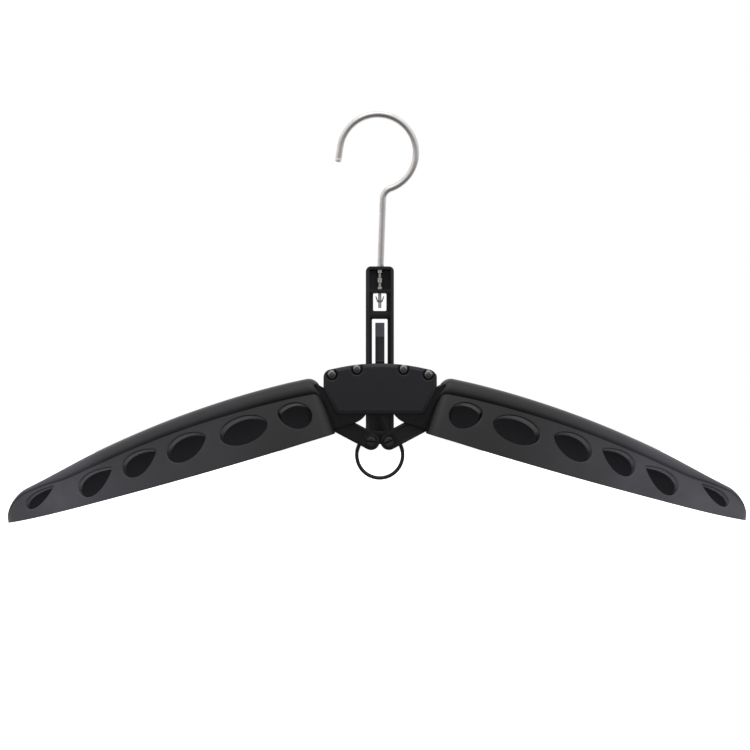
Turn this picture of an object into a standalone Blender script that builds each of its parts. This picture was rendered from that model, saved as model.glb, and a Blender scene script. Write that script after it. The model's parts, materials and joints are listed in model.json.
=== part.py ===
"""A folding wide-shoulder hanger: wire hook, stem, sliding housing, link-driven hollow arms and a pull ring.

Metres, +Z up, front towards -Y. The origin is where the rail touches the hook, over the stem's axis.
The arms are drawn in their own frame: `a` runs out along the arm's lower edge from the pivot, `h` stands
square to it, and `y` is the world's depth. The left side is the right side mirrored in X.
"""

import math

import bmesh
import bpy
import numpy as np
from mathutils import Matrix

for old in list(bpy.data.objects):
    bpy.data.objects.remove(old, do_unlink=True)

# Fits
FACE_GAP = 0.0003
BORE_GAP = 0.0002
OVERRUN = 0.0020
ROUND_SIDES = 20
SCREW_SIDES = 16
SMOOTH_BELOW = math.radians(32)

# Wire hook and its swivel spindle
WIRE_R = 0.0020
HOOK_BEND_R = 0.0232
HOOK_OFFSET = -0.0011
HOOK_TIP_ANGLE = math.radians(191)
HOOK_HEEL_ANGLE = math.radians(-71)
HEEL_BEND_R = 0.0066
TIP_CHAMFER = 0.0004
SHANK_STRAIGHT = 0.0030
SHANK_STATION_SHARES = (0.35, 0.7, 0.9)
SPINDLE_R = 0.0019
NECK_R = 0.0010
TAIL_R = 0.0010
COLLAR_LENGTH = 0.0021
UPPER_NECK = 0.0028
MIDDLE_COLLAR = 0.0032
LOWER_NECK = 0.0023
TAIL_BELOW_BAR = 0.0089

# Swivel clip, a bent strip with two prongs
CLIP_REACH = 0.0027
CLIP_RISE = 0.0035
CLIP_STRIP = 0.0005
CLIP_WIDTH = 0.0026
CLIP_BASE = 0.0015
CLIP_DROP = 0.0019

# Stem
STEM_TOP = -0.0906
STEM_WIDTH = 0.0170
STEM_DEPTH = 0.0070
STEM_CORNER_R = 0.0029
RIM_WIDTH = 0.0021
FLOOR_DEPTH = 0.0034
HEAD_WALL = 0.0019
HEAD_BACK = 0.0011
HEAD_RECESS = 0.0123
BAR_HEIGHT = 0.0021
WINDOW_WIDTH = 0.0081
WINDOW_HEIGHT = 0.0107
WINDOW_CORNER_R = 0.0007
PANEL_MARGIN = 0.0015
RIB_HEIGHT = 0.0024
SLOT_WIDTH = 0.0095
SLOT_LENGTH = 0.0423
SLOT_MARGIN = 0.0010
BLOCK_RISE = 0.0065
FOOT_NOTCH_DROP = 0.0017
FOOT_LOBE_TURN = math.radians(126)

# Latch tongue
TONGUE_WIDTH = 0.0056
TONGUE_DEPTH = 0.0024
TONGUE_TOP_GAP = 0.0023
RAMP_HEIGHT = 0.0057
RAMP_TIP = 0.0010
FOOT_HEIGHT = 0.0050
CATCH_HEIGHT = 0.0014
CATCH_STAND = 0.0003
TONGUE_SET_BACK = 0.0003

# Linkage, in the plane of the front view
PIVOT_X = 0.0188
PIVOT_Z = -0.1741
LINK_SCREW_X = 0.00543
LINK_SCREW_Z = -0.1970
LINK_LENGTH = 0.0360
LINK_REST = math.radians(28)
PIVOT_PIN_R = 0.0020
LINK_PIN_R = 0.0015
LINK_PIN_HEAD_R = 0.0022
LINK_PIN_HEAD = 0.0008
LINK_PLATE = 0.0020
LINK_HALF_WIDTH = 0.0052
LINK_EDGE = 0.0013
LINK_POCKET = 0.0006
EYE_PLAY = 0.0023
LINK_SCREW_R = 0.0016
LINK_HEAD_R = 0.0029
LINK_HEAD_HEIGHT = 0.0019
LINK_HEAD_CROWN = 0.0010
LINK_HEAD_CROWN_SHARES = ((1.0, 0.0), (0.3, 0.2), (0.0, 0.7))
DRIVER_SLOT = 0.0008
DRIVER_DEPTH = 0.0009
LEFT_SLOT_TURN = math.radians(-4)
RIGHT_SLOT_TURN = math.radians(24)
NUT_R = 0.0030
NUT_HEIGHT = 0.0020
SCREW_TAIL = 0.0002

# Housing covers
COVER_WALL = 0.0020
COVER_CHAMFER = 0.0008
COVER_HALF_WIDTH = 0.0343
COVER_TOP = -0.1496
COVER_HEIGHT = 0.0304
COVER_CROWN = 0.0037
COVER_SHOULDER_INSET = 0.0044
COVER_SHOULDER_R = 0.0047
COVER_WAIST_DROP = 0.0144
COVER_FOOT_INSET = 0.0078
COVER_RIM_DROP = 0.0134
COVER_CORNER_R = 0.0010
CROWN_ARC_SHARE = 0.9
GUIDE_WIDTH = 0.0018
GUIDE_DROP = 0.0116
PILLAR_R = 0.0046
PILLAR_SET_BACK = 0.0012
SEAT_DEPTH = 0.0026
NOTCH_R = 0.00385
NOTCH_FLARE = 0.0006
OUTER_SCREW_INSET = 0.0052
OUTER_SCREW_DROP = 0.0068
INNER_SCREW_REACH = 0.0056
INNER_SCREW_DROP = 0.0036
COVER_SCREW_R = 0.00125
COVER_HEAD_R = 0.0028
COVER_HEAD_HEIGHT = 0.0020
COVER_HEAD_FLAT_SHARE = 0.45
COVER_HEAD_DOME_SHARES = (0.75, 0.95)
COVER_HEAD_DOME_HEIGHT = 0.0015
COVER_HEAD_RIM_HEIGHT = 0.0004
COVER_SCREW_BACK = 0.0070
CROSS_LENGTH = 0.0030
CROSS_WIDTH = 0.0006
CROSS_DEPTH = 0.0009
PIN_SOCKET = 0.0011

# Arms
ARM_DROOP = math.radians(15.9)
HUB_R = 0.0120
CHEEK_DEPTH = 0.0020
CHEEK_REACH = 0.0066
CHEEK_INNER_TOP = 0.0050
WEB_START = 0.0055
WEB_TOP = 0.0115
GUSSET_START = 0.0110
GUSSET_TOP = 0.0176
WEB_CLEARANCE = 0.0004
WELD_LAP = 0.0005
ARM_START = 0.01465
ARM_LENGTH = 0.2039
ARM_HEIGHT = 0.0380
ARM_PIVOT_SHARE = 0.3763
ARM_HALF_DEPTH = 0.0230
CREST_HALF_DEPTH = 0.0090
BEAD_BULGE = 0.0008
BEAD_HEIGHT = 0.0098
ARM_WALL = 0.0025
ARM_END_WALL = 0.0022
END_ROUND_TOP = 0.0062
END_ROUND_DEPTH = 0.0060
END_LEAN = 0.0019
END_LEAN_REACH = 0.0090
NOSE_LENGTH = 0.0165
BEAD_FIRST_ANGLE = math.radians(8)
NOSE_LAST_ANGLE = math.radians(86)
SMALLEST_CORE = 0.0006
TALLEST_BEAD_SHARE = 0.45
WALL_POINT_SHARES = (0.0, 0.5, 0.97)
# Share of the arm's length, then shares of its height, lower half depth, crest half depth and bead height,
# and last the rise of its lower edge as a share of its height.
ARM_STATION_SHARES = (
    (0.00, 0.933, 0.985, 1.00, 1.00, 0.000),
    (0.08, 0.969, 1.000, 1.00, 0.97, -0.007),
    (0.17, 0.995, 0.990, 0.98, 0.95, -0.019),
    (0.31, 0.992, 0.955, 0.92, 0.88, -0.0275),
    (0.45, 0.947, 0.895, 0.84, 0.78, -0.030),
    (0.58, 0.864, 0.810, 0.75, 0.62, -0.026),
    (0.72, 0.733, 0.690, 0.63, 0.49, -0.0165),
    (0.86, 0.555, 0.540, 0.48, 0.34, -0.001),
    (1.00, 0.370, 0.380, 0.33, 0.20, 0.040),
)
# Each vent's middle, as shares of the arm's length and of its wall's height there.
VENT_PLACE_SHARES = (
    (0.0924, 0.640),
    (0.2528, 0.605),
    (0.4259, 0.612),
    (0.5716, 0.605),
    (0.7114, 0.539),
    (0.8790, 0.690),
)
# Each vent's length and width.
VENT_SIZES = (
    (0.0202, 0.0163),
    (0.0300, 0.0178),
    (0.0251, 0.0172),
    (0.0239, 0.0170),
    (0.0250, 0.0155),
    (0.0212, 0.0100),
)
# Each vent's turn in degrees, and how pointed its far end is as a share.
VENT_TURNS = (205, 178, 166, 160, 157, 157)
VENT_POINT_SHARES = (0.10, 0.06, 0.20, 0.40, 0.50, 0.60)
VENT_POINTS = 24
VENT_OUTSIDE = 0.0060
VENT_INSIDE = 0.0050

# Pull ring
RING_OUTER_R = 0.0150
RING_WIRE_R = 0.00105
RING_Z = -0.2056
RING_SWING_ROOM = 0.0010
RING_TUNNEL_OVERTURN = math.radians(12)

# Depths of the layers, from the stem outwards
STEM_FACE = STEM_DEPTH / 2
LINK_IN = STEM_FACE + FACE_GAP
LINK_OUT = LINK_IN + LINK_PLATE
CHEEK_IN = LINK_OUT + FACE_GAP
CHEEK_OUT = CHEEK_IN + CHEEK_DEPTH
COVER_IN = CHEEK_OUT + FACE_GAP
COVER_OUT = COVER_IN + COVER_WALL


def material(name, colour, roughness, metallic=0.0):
    """A plain Principled material."""
    made = bpy.data.materials.new(name)
    made.use_nodes = True
    shader = made.node_tree.nodes["Principled BSDF"]
    shader.inputs["Base Color"].default_value = (*colour, 1.0)
    shader.inputs["Roughness"].default_value = roughness
    shader.inputs["Metallic"].default_value = metallic
    return made


HOOK_STEEL = material("hook_steel", (0.52, 0.50, 0.47), 0.24, 1.0)
CLIP_STEEL = material("clip_steel", (0.60, 0.60, 0.60), 0.30, 1.0)
SCREW_STEEL = material("screw_steel", (0.45, 0.45, 0.46), 0.22, 1.0)
BLACK_SCREW = material("blackened_screw", (0.030, 0.030, 0.032), 0.42, 0.6)
ARM_PLASTIC = material("arm_plastic", (0.040, 0.040, 0.042), 0.48)
COVER_PLASTIC = material("cover_plastic", (0.020, 0.020, 0.022), 0.55)
STEM_PLASTIC = material("stem_plastic", (0.028, 0.028, 0.030), 0.50)
LATCH_PLASTIC = material("latch_plastic", (0.040, 0.040, 0.042), 0.50)
LINK_PLASTIC = material("link_plastic", (0.024, 0.024, 0.026), 0.50)
RING_STEEL = material("ring_steel", (0.060, 0.060, 0.062), 0.40, 0.7)


def as_object(name, bm, surface=None, place=None):
    """Turns a bmesh into an object whose origin is at `place`, faces out, round parts shaded smooth."""
    bmesh.ops.recalc_face_normals(bm, faces=bm.faces)
    mesh = bpy.data.meshes.new(name)
    bm.to_mesh(mesh)
    bm.free()
    if place is not None:
        mesh.transform(Matrix.Translation([-v for v in place]))
    mesh.shade_smooth()
    mesh.set_sharp_from_angle(angle=SMOOTH_BELOW)
    obj = bpy.data.objects.new(name, mesh)
    bpy.context.scene.collection.objects.link(obj)
    if place is not None:
        obj.location = place
    if surface is None:
        obj.hide_render = True
        obj.display_type = "WIRE"
    else:
        mesh.materials.append(surface)
    return obj


def combine(obj, other, operation):
    """Adds an exact Boolean of the helper `other` to `obj`."""
    modifier = obj.modifiers.new(other.name, "BOOLEAN")
    modifier.operation = operation
    modifier.solver = "EXACT"
    modifier.object = other
    return obj


def cut(obj, *tools):
    for tool in tools:
        combine(obj, tool, "DIFFERENCE")
    return obj


def weld(obj, *pieces):
    for piece in pieces:
        combine(obj, piece, "UNION")
    return obj


def prism(name, outline, front, back, surface=None, place=None, front_inset=0.0, back_inset=0.0):
    """Extrudes an (x, z) outline along Y, its ends drawn in by a chamfer where asked."""
    levels = [(front, front_inset)]
    if front_inset:
        levels.append((front + front_inset, 0.0))
    if back_inset:
        levels.append((back - back_inset, 0.0))
    levels.append((back, back_inset))
    bm = bmesh.new()
    rings = []
    for depth, inset in levels:
        rings.append([bm.verts.new((x, depth, z)) for x, z in drawn_in(outline, inset)])
    for near, far in zip(rings, rings[1:]):
        for i in range(len(outline)):
            j = (i + 1) % len(outline)
            bm.faces.new((near[i], near[j], far[j], far[i]))
    bm.faces.new(rings[0])
    bm.faces.new(rings[-1])
    return as_object(name, bm, surface, place)


def drawn_in(outline, inset):
    """The outline moved inwards along its corners' mitres."""
    if not inset:
        return outline
    points = np.array(outline)
    before = points - np.roll(points, 1, axis=0)
    after = np.roll(points, -1, axis=0) - points
    before /= np.linalg.norm(before, axis=1)[:, None]
    after /= np.linalg.norm(after, axis=1)[:, None]
    normals = np.stack([-before[:, 1], before[:, 0]], 1) + np.stack([-after[:, 1], after[:, 0]], 1)
    x, z = points[:, 0], points[:, 1]
    area = np.sum(x * np.roll(z, -1) - z * np.roll(x, -1))
    lengths = np.linalg.norm(normals, axis=1)[:, None]
    mitre = normals / lengths * (2 / lengths) * np.sign(area)
    return [tuple(p) for p in points + inset * mitre]


def rod(name, x, z, radius, front, back, surface=None, place=None, sides=ROUND_SIDES):
    """A round bar along Y."""
    return turned(name, [(radius, front), (radius, back)], x, z, surface, place, sides)


def turned(name, profile, x=0.0, z=0.0, surface=None, place=None, sides=ROUND_SIDES):
    """Revolves (radius, depth) steps about an axis along Y through (x, z)."""
    bm = bmesh.new()
    rings = []
    for radius, depth in profile:
        ring = []
        for k in range(sides):
            angle = 2 * math.pi * k / sides
            ring.append(bm.verts.new((x + radius * math.cos(angle), depth, z + radius * math.sin(angle))))
        rings.append(ring)
    for near, far in zip(rings, rings[1:]):
        for i in range(sides):
            j = (i + 1) % sides
            bm.faces.new((near[i], near[j], far[j], far[i]))
    bm.faces.new(rings[0])
    bm.faces.new(rings[-1])
    return as_object(name, bm, surface, place)


def arc(x, z, radius, start, end, steps):
    """Points of a circular arc in the front view, both ends included."""
    angles = np.linspace(start, end, steps + 1)
    return [(x + radius * math.cos(t), z + radius * math.sin(t)) for t in angles]


def rounded_box(x0, x1, z0, z1, radius, steps=3):
    """A rectangle in the front view with round corners."""
    turn = math.pi / 2
    return (
        arc(x1 - radius, z1 - radius, radius, 0, turn, steps)
        + arc(x0 + radius, z1 - radius, radius, turn, 2 * turn, steps)
        + arc(x0 + radius, z0 + radius, radius, 2 * turn, 3 * turn, steps)
        + arc(x1 - radius, z0 + radius, radius, 3 * turn, 4 * turn, steps)
    )


def box(name, x0, x1, y0, y1, z0, z1, surface=None, place=None):
    return prism(name, [(x0, z0), (x1, z0), (x1, z1), (x0, z1)], y0, y1, surface, place)


def swept(name, path, sides, surface=None, place=None, closed=False):
    """A round tube along (x, z, radius) stations in the front view. A repeated place makes a square shoulder."""
    stations = np.array(path)
    if closed:
        tangents = np.roll(stations[:, :2], -1, axis=0) - np.roll(stations[:, :2], 1, axis=0)
    else:
        tangents = np.gradient(stations[:, :2], axis=0)
        for i in range(1, len(stations) - 1):
            before = stations[i, :2] - stations[i - 1, :2]
            after = stations[i + 1, :2] - stations[i, :2]
            if not before.any():
                tangents[i] = after
            elif not after.any():
                tangents[i] = before
    tangents /= np.linalg.norm(tangents, axis=1)[:, None]
    bm = bmesh.new()
    rings = []
    for (x, z, radius), (tx, tz) in zip(stations, tangents):
        ring = []
        for k in range(sides):
            angle = 2 * math.pi * k / sides
            across = radius * math.cos(angle)
            ring.append(bm.verts.new((x - tz * across, radius * math.sin(angle), z + tx * across)))
        rings.append(ring)
    pairs = list(zip(rings, rings[1:]))
    if closed:
        pairs.append((rings[-1], rings[0]))
    for near, far in pairs:
        for i in range(sides):
            j = (i + 1) % sides
            bm.faces.new((near[i], near[j], far[j], far[i]))
    if not closed:
        bm.faces.new(rings[0])
        bm.faces.new(rings[-1])
    return as_object(name, bm, surface, place)


def upright_rod(name, radius, bottom, top, sides=ROUND_SIDES):
    """A round bar along Z on the stem's axis."""
    return swept(name, [(0.0, bottom, radius), (0.0, top, radius)], sides)


# Heights that more than one piece uses
RECESS_TOP = STEM_TOP - HEAD_WALL
RECESS_END = RECESS_TOP - HEAD_RECESS
WINDOW_TOP = RECESS_END - BAR_HEIGHT
WINDOW_END = WINDOW_TOP - WINDOW_HEIGHT
RIB_TOP = WINDOW_END - PANEL_MARGIN
RIB_END = RIB_TOP - RIB_HEIGHT
SLOT_TOP = RIB_END - SLOT_MARGIN
SLOT_END = SLOT_TOP - SLOT_LENGTH
BLOCK_TOP = LINK_SCREW_Z + BLOCK_RISE
RING_BEND_R = RING_OUTER_R - RING_WIRE_R
LINK_PIN_X = LINK_SCREW_X + LINK_LENGTH * math.cos(LINK_REST)
LINK_PIN_Z = LINK_SCREW_Z + LINK_LENGTH * math.sin(LINK_REST)
COVER_SHOULDER_X = COVER_HALF_WIDTH - COVER_SHOULDER_INSET
COVER_CROWN_R = (COVER_SHOULDER_X**2 + COVER_CROWN**2) / (2 * COVER_CROWN)
COVER_WAIST_Z = COVER_TOP - COVER_WAIST_DROP
COVER_BOTTOM_X = COVER_HALF_WIDTH - COVER_FOOT_INSET
COVER_BOTTOM = COVER_TOP - COVER_HEIGHT
OUTER_SCREW = (COVER_HALF_WIDTH - OUTER_SCREW_INSET, COVER_TOP - OUTER_SCREW_DROP)
INNER_SCREW = (STEM_WIDTH / 2 + INNER_SCREW_REACH, COVER_TOP - INNER_SCREW_DROP)
ARM_LOW_EDGE = -ARM_HEIGHT * ARM_PIVOT_SHARE


def build_hook():
    """The wire from its cut tip, over the rail, round the heel and down to the turned spindle."""
    middle_z = WIRE_R - HOOK_BEND_R
    bend = arc(HOOK_OFFSET, middle_z, HOOK_BEND_R, HOOK_TIP_ANGLE, HOOK_HEEL_ANGLE, 30)
    heel_x, heel_z = bend[-1]
    heading = HOOK_HEEL_ANGLE + 1.5 * math.pi
    heel_x += HEEL_BEND_R * math.cos(heading + math.pi / 2)
    heel_z += HEEL_BEND_R * math.sin(heading + math.pi / 2)
    shank_end = STEM_TOP + SHANK_STRAIGHT
    lean = math.atan2(heel_x - HEEL_BEND_R, heel_z - shank_end)
    heel = arc(heel_x, heel_z, HEEL_BEND_R, heading - math.pi / 2, math.pi - lean, 6)
    path = [(x, z, WIRE_R) for x, z in bend + heel[1:]]
    tip_x, tip_z, tip_r = path[0]
    back = np.array(path[1][:2]) - (tip_x, tip_z)
    back *= TIP_CHAMFER / np.linalg.norm(back)
    path[0] = (tip_x, tip_z, tip_r - TIP_CHAMFER)
    path.insert(1, (tip_x + back[0], tip_z + back[1], tip_r))
    low_x, low_z = heel[-1]
    for share in SHANK_STATION_SHARES:
        path.append((low_x * (1 - share), low_z + (shank_end - low_z) * share, WIRE_R))
    path.append((0.0, shank_end, WIRE_R))
    level = RECESS_TOP
    path += [(0.0, level, WIRE_R), (0.0, level, SPINDLE_R)]
    steps = (
        (COLLAR_LENGTH, NECK_R),
        (UPPER_NECK, SPINDLE_R),
        (MIDDLE_COLLAR, NECK_R),
        (LOWER_NECK, SPINDLE_R),
    )
    radius = SPINDLE_R
    for length, following in steps:
        level -= length
        path += [(0.0, level, radius), (0.0, level, following)]
        radius = following
    end = RECESS_END + FACE_GAP
    path += [(0.0, end, radius), (0.0, end, TAIL_R), (0.0, WINDOW_TOP - TAIL_BELOW_BAR, TAIL_R)]
    return swept("wire_hook", path, 12, HOOK_STEEL, (0.0, 0.0, 0.0))


def build_swivel_clip():
    """A strip bent to two prongs that point up, on the spindle's tail in the window."""
    top = WINDOW_TOP - CLIP_DROP
    base = top - CLIP_RISE
    half = [
        (CLIP_BASE, base),
        (CLIP_REACH, top),
        (CLIP_REACH - CLIP_STRIP, top + CLIP_STRIP / 2),
        (CLIP_BASE - CLIP_STRIP, base + CLIP_STRIP * 2),
    ]
    outline = half + [(-x, z) for x, z in reversed(half)]
    clip = prism("swivel_clip", outline, -CLIP_WIDTH / 2, CLIP_WIDTH / 2, CLIP_STEEL, (0.0, 0.0, base))
    bore = upright_rod("clip_bore", TAIL_R + BORE_GAP, base - OVERRUN, top + OVERRUN)
    return cut(clip, bore)


def ring_tunnel():
    """The curved way through the stem's block that the ring swings in."""
    reach = RING_WIRE_R + FACE_GAP
    turn = math.asin(STEM_WIDTH / 2 / RING_BEND_R) + RING_TUNNEL_OVERTURN
    up = math.pi / 2
    outline = arc(0.0, RING_Z, RING_BEND_R + reach, up - turn, up + turn, 14)
    outline += arc(0.0, RING_Z, RING_BEND_R - reach, up + turn, up - turn, 14)
    room = reach + RING_SWING_ROOM
    return prism("ring_tunnel", outline, -room, room)


def build_stem():
    """The post: head recess, window, cross rib, latch slot between raised rims, and the lower block."""
    half = STEM_WIDTH / 2
    corner = half - STEM_CORNER_R
    lobe_r = half - LINK_SCREW_X
    quarter = math.pi / 2
    right = arc(corner, STEM_TOP - STEM_CORNER_R, STEM_CORNER_R, quarter, 0, 6)
    right += arc(LINK_SCREW_X, LINK_SCREW_Z, lobe_r, 0, -FOOT_LOBE_TURN, 7)
    left = [(-x, z) for x, z in reversed(right)]
    outline = right + [(0.0, LINK_SCREW_Z - FOOT_NOTCH_DROP)] + left
    stem = prism("stem", outline, -STEM_FACE, STEM_FACE, STEM_PLASTIC, (0.0, 0.0, STEM_TOP))
    inner = half - RIM_WIDTH
    front, back = -STEM_FACE - OVERRUN, STEM_FACE + OVERRUN
    floor = FLOOR_DEPTH / 2
    recess = rounded_box(-inner, inner, RECESS_END, RECESS_TOP, WINDOW_CORNER_R)
    cut(stem, prism("head_recess", recess, front, STEM_FACE - HEAD_BACK))
    panels = ((WINDOW_TOP + BORE_GAP, RIB_TOP), (RIB_END, BLOCK_TOP))
    for number, (top, end) in enumerate(panels):
        panel = rounded_box(-inner, inner, end, top, WINDOW_CORNER_R)
        cut(stem, prism(f"panel_front_{number}", panel, front, -floor))
        cut(stem, prism(f"panel_back_{number}", panel, floor, back))
    wide = WINDOW_WIDTH / 2
    cut(stem, prism("window", rounded_box(-wide, wide, WINDOW_END, WINDOW_TOP, WINDOW_CORNER_R), front, back))
    wide = SLOT_WIDTH / 2
    cut(stem, prism("latch_slot", rounded_box(-wide, wide, SLOT_END, SLOT_TOP, WINDOW_CORNER_R), front, back))
    cut(stem, upright_rod("shank_bore", WIRE_R + BORE_GAP, RECESS_TOP - OVERRUN / 2, STEM_TOP + OVERRUN))
    cut(stem, upright_rod("tail_bore", TAIL_R + BORE_GAP, WINDOW_TOP - OVERRUN / 2, RECESS_END + OVERRUN / 2))
    cut(stem, ring_tunnel())
    for side in (-1, 1):
        bore = rod(f"screw_bore_{side}", side * LINK_SCREW_X, LINK_SCREW_Z, LINK_SCREW_R + BORE_GAP, front, back)
        cut(stem, bore)
    return stem


def build_latch():
    """A tongue with a thumb ramp at its top and a foot keyed into the slot's end; it leans back on its root."""
    face = -STEM_FACE + TONGUE_SET_BACK
    back = face + TONGUE_DEPTH
    root = SLOT_END + FACE_GAP
    top = SLOT_TOP - TONGUE_TOP_GAP
    catch = COVER_TOP + FACE_GAP
    half = TONGUE_WIDTH / 2
    side_view = [
        (back, root),
        (back, top - RAMP_TIP),
        (back - RAMP_TIP, top),
        (back - RAMP_TIP - RAMP_TIP, top),
        (face, top - RAMP_HEIGHT),
        (face, catch + CATCH_HEIGHT),
        (face - CATCH_STAND, catch + CATCH_HEIGHT),
        (face - CATCH_STAND, catch),
        (face, catch),
        (face, root),
    ]
    bm = bmesh.new()
    ends = []
    for x in (-half, half):
        ends.append([bm.verts.new((x, y, z)) for y, z in side_view])
    for i in range(len(side_view)):
        j = (i + 1) % len(side_view)
        bm.faces.new((ends[0][i], ends[0][j], ends[1][j], ends[1][i]))
    bm.faces.new(ends[0])
    bm.faces.new(ends[1])
    root_place = (0.0, 0.0, root)
    tongue = as_object("latch_tongue", bm, LATCH_PLASTIC, root_place)
    foot_half = SLOT_WIDTH / 2 - FACE_GAP
    foot_outline = rounded_box(-foot_half, foot_half, root, root + FOOT_HEIGHT, WINDOW_CORNER_R)
    return weld(tongue, prism("latch_foot", foot_outline, face, FLOOR_DEPTH / 2))


def cover_outline():
    """The housing's front outline: an arched top, round shoulders and sides that slant in to a flat foot."""
    spread = math.asin(COVER_SHOULDER_X / COVER_CROWN_R)
    up = math.pi / 2
    half_arc = spread * CROWN_ARC_SHARE
    top = arc(0.0, COVER_TOP - COVER_CROWN_R, COVER_CROWN_R, up + half_arc, up - half_arc, 10)
    shoulder_x = COVER_HALF_WIDTH - COVER_SHOULDER_R
    shoulder_z = COVER_TOP - COVER_CROWN - COVER_SHOULDER_R
    right = arc(shoulder_x, shoulder_z, COVER_SHOULDER_R, up - spread, 0, 5)
    slant = math.atan2(COVER_HALF_WIDTH - COVER_BOTTOM_X, COVER_WAIST_Z - COVER_BOTTOM)
    right += [(COVER_HALF_WIDTH, COVER_WAIST_Z + COVER_CORNER_R)]
    right += [(COVER_HALF_WIDTH - COVER_CORNER_R * math.sin(slant), COVER_WAIST_Z - COVER_CORNER_R)]
    right += [(COVER_BOTTOM_X + COVER_CORNER_R * math.sin(slant), COVER_BOTTOM + COVER_CORNER_R)]
    right += [(COVER_BOTTOM_X - COVER_CORNER_R, COVER_BOTTOM)]
    left = [(-x, z) for x, z in reversed(right)]
    return top + right + left


def build_cover(name, side):
    """One half of the housing: side is -1 for the front cover and 1 for the back cover."""
    outline = cover_outline()
    place = (0.0, side * COVER_OUT, PIVOT_Z)
    face, inside, split = side * COVER_OUT, side * COVER_IN, side * FACE_GAP / 2

    def between(a, b):
        return (min(a, b), max(a, b))

    front_inset = COVER_CHAMFER if side < 0 else 0.0
    back_inset = COVER_CHAMFER if side > 0 else 0.0
    cover = prism(name, outline, *between(face, split), COVER_PLASTIC, place, front_inset, back_inset)
    hollow = drawn_in(outline, COVER_WALL)
    split_side = split - side * OVERRUN
    cut(cover, prism(f"{name}_hollow", hollow, *between(inside, split_side)))
    wide = COVER_HALF_WIDTH + OVERRUN
    low = COVER_BOTTOM - OVERRUN
    cut(cover, box(f"{name}_arm_way", -wide, wide, *between(inside, split_side), low, COVER_TOP - COVER_RIM_DROP))
    overlap = side * OVERRUN / 4
    for x_side in (-1, 1):
        inner = STEM_WIDTH / 2 + FACE_GAP
        x0, x1 = sorted((x_side * inner, x_side * (inner + GUIDE_WIDTH)))
        top = COVER_TOP - COVER_WALL / 2
        guide = box(
            f"{name}_guide_{x_side}", x0, x1, *between(inside + overlap, split), COVER_TOP - GUIDE_DROP, top
        )
        weld(cover, guide)
        for kind, (x, z) in (("outer", OUTER_SCREW), ("inner", INNER_SCREW)):
            pillar = f"{name}_{kind}_pillar_{x_side}"
            ends = between(face - side * PILLAR_SET_BACK, split)
            weld(cover, prism(pillar, pillar_outline(x_side * x, z), *ends))
    stem_x = STEM_WIDTH / 2 + FACE_GAP
    stem_y = side * (STEM_FACE + FACE_GAP)
    cut(cover, box(f"{name}_stem_way", -stem_x, stem_x, *between(stem_y, split_side), low, COVER_TOP + OVERRUN))
    for x_side in (-1, 1):
        socket = (inside + side * PIN_SOCKET, split_side)
        radius = PIVOT_PIN_R + BORE_GAP
        cut(cover, rod(f"{name}_pin_socket_{x_side}", x_side * PIVOT_X, PIVOT_Z, radius, *between(*socket)))
        for kind, (x, z) in (("outer", OUTER_SCREW), ("inner", INNER_SCREW)):
            cut_screw_way(cover, side, kind, x_side, x, z)
    return cover


def pillar_outline(x, z):
    """A round screw pillar, kept inside the housing's own outline."""
    outline = []
    for px, pz in arc(x, z, PILLAR_R, 0, 2 * math.pi * (1 - 1 / ROUND_SIDES), ROUND_SIDES - 1):
        limit = COVER_TOP - COVER_CROWN_R + math.sqrt(COVER_CROWN_R**2 - px**2) - COVER_CHAMFER
        edge = COVER_HALF_WIDTH - COVER_CHAMFER
        shoulder_x = COVER_HALF_WIDTH - COVER_SHOULDER_R
        shoulder_z = COVER_TOP - COVER_CROWN - COVER_SHOULDER_R
        reach = COVER_SHOULDER_R - COVER_CHAMFER
        px = max(-edge, min(edge, px))
        out = abs(px) - shoulder_x
        if out > 0:
            limit = min(limit, shoulder_z + math.sqrt(max(0.0, reach**2 - out**2)))
        outline.append((px, min(pz, limit)))
    return outline


def cut_screw_way(cover, side, kind, x_side, x, z):
    """The front cover gets an open notch with a flared mouth and a clearance bore, the back a blind bore."""
    name = f"{cover.name}_{kind}_{x_side}"
    radius = COVER_SCREW_R + BORE_GAP
    if side > 0:
        cut(cover, rod(f"{name}_bore", x_side * x, z, radius, -OVERRUN, COVER_SCREW_BACK + FACE_GAP))
        return
    seat = -COVER_OUT + SEAT_DEPTH
    cut(cover, rod(f"{name}_bore", x_side * x, z, radius, seat - OVERRUN, OVERRUN))
    profile = [
        (NOTCH_R, seat),
        (NOTCH_R, -COVER_OUT + NOTCH_FLARE),
        (NOTCH_R + NOTCH_FLARE, -COVER_OUT),
        (NOTCH_R + NOTCH_FLARE, -COVER_OUT - OVERRUN),
    ]
    cut(cover, turned(f"{name}_notch", profile, x_side * x, z))


def build_cover_screw(number, x, z):
    """A pan head with a cross recess on a plain shank; its head sits on the notch's floor."""
    seat = -COVER_OUT + SEAT_DEPTH - FACE_GAP
    head = COVER_HEAD_HEIGHT
    dome_foot = seat - head + COVER_HEAD_DOME_HEIGHT
    profile = [(COVER_HEAD_R * COVER_HEAD_FLAT_SHARE, seat - head)]
    for share in COVER_HEAD_DOME_SHARES:
        profile.append((COVER_HEAD_R * share, dome_foot - COVER_HEAD_DOME_HEIGHT * math.sqrt(1 - share**2)))
    profile += [(COVER_HEAD_R, seat - COVER_HEAD_RIM_HEIGHT), (COVER_HEAD_R, seat)]
    profile += [(COVER_SCREW_R, seat), (COVER_SCREW_R, COVER_SCREW_BACK)]
    screw = turned(f"cover_screw_{number}", profile, x, z, SCREW_STEEL, (x, seat, z), SCREW_SIDES)
    for turn, (long, short) in enumerate(((CROSS_LENGTH, CROSS_WIDTH), (CROSS_WIDTH, CROSS_LENGTH))):
        bar = box(
            f"cross_{number}_{turn}",
            x - long / 2,
            x + long / 2,
            seat - head - OVERRUN,
            seat - head + CROSS_DEPTH,
            z - short / 2,
            z + short / 2,
        )
        cut(screw, bar)
    return screw


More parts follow.
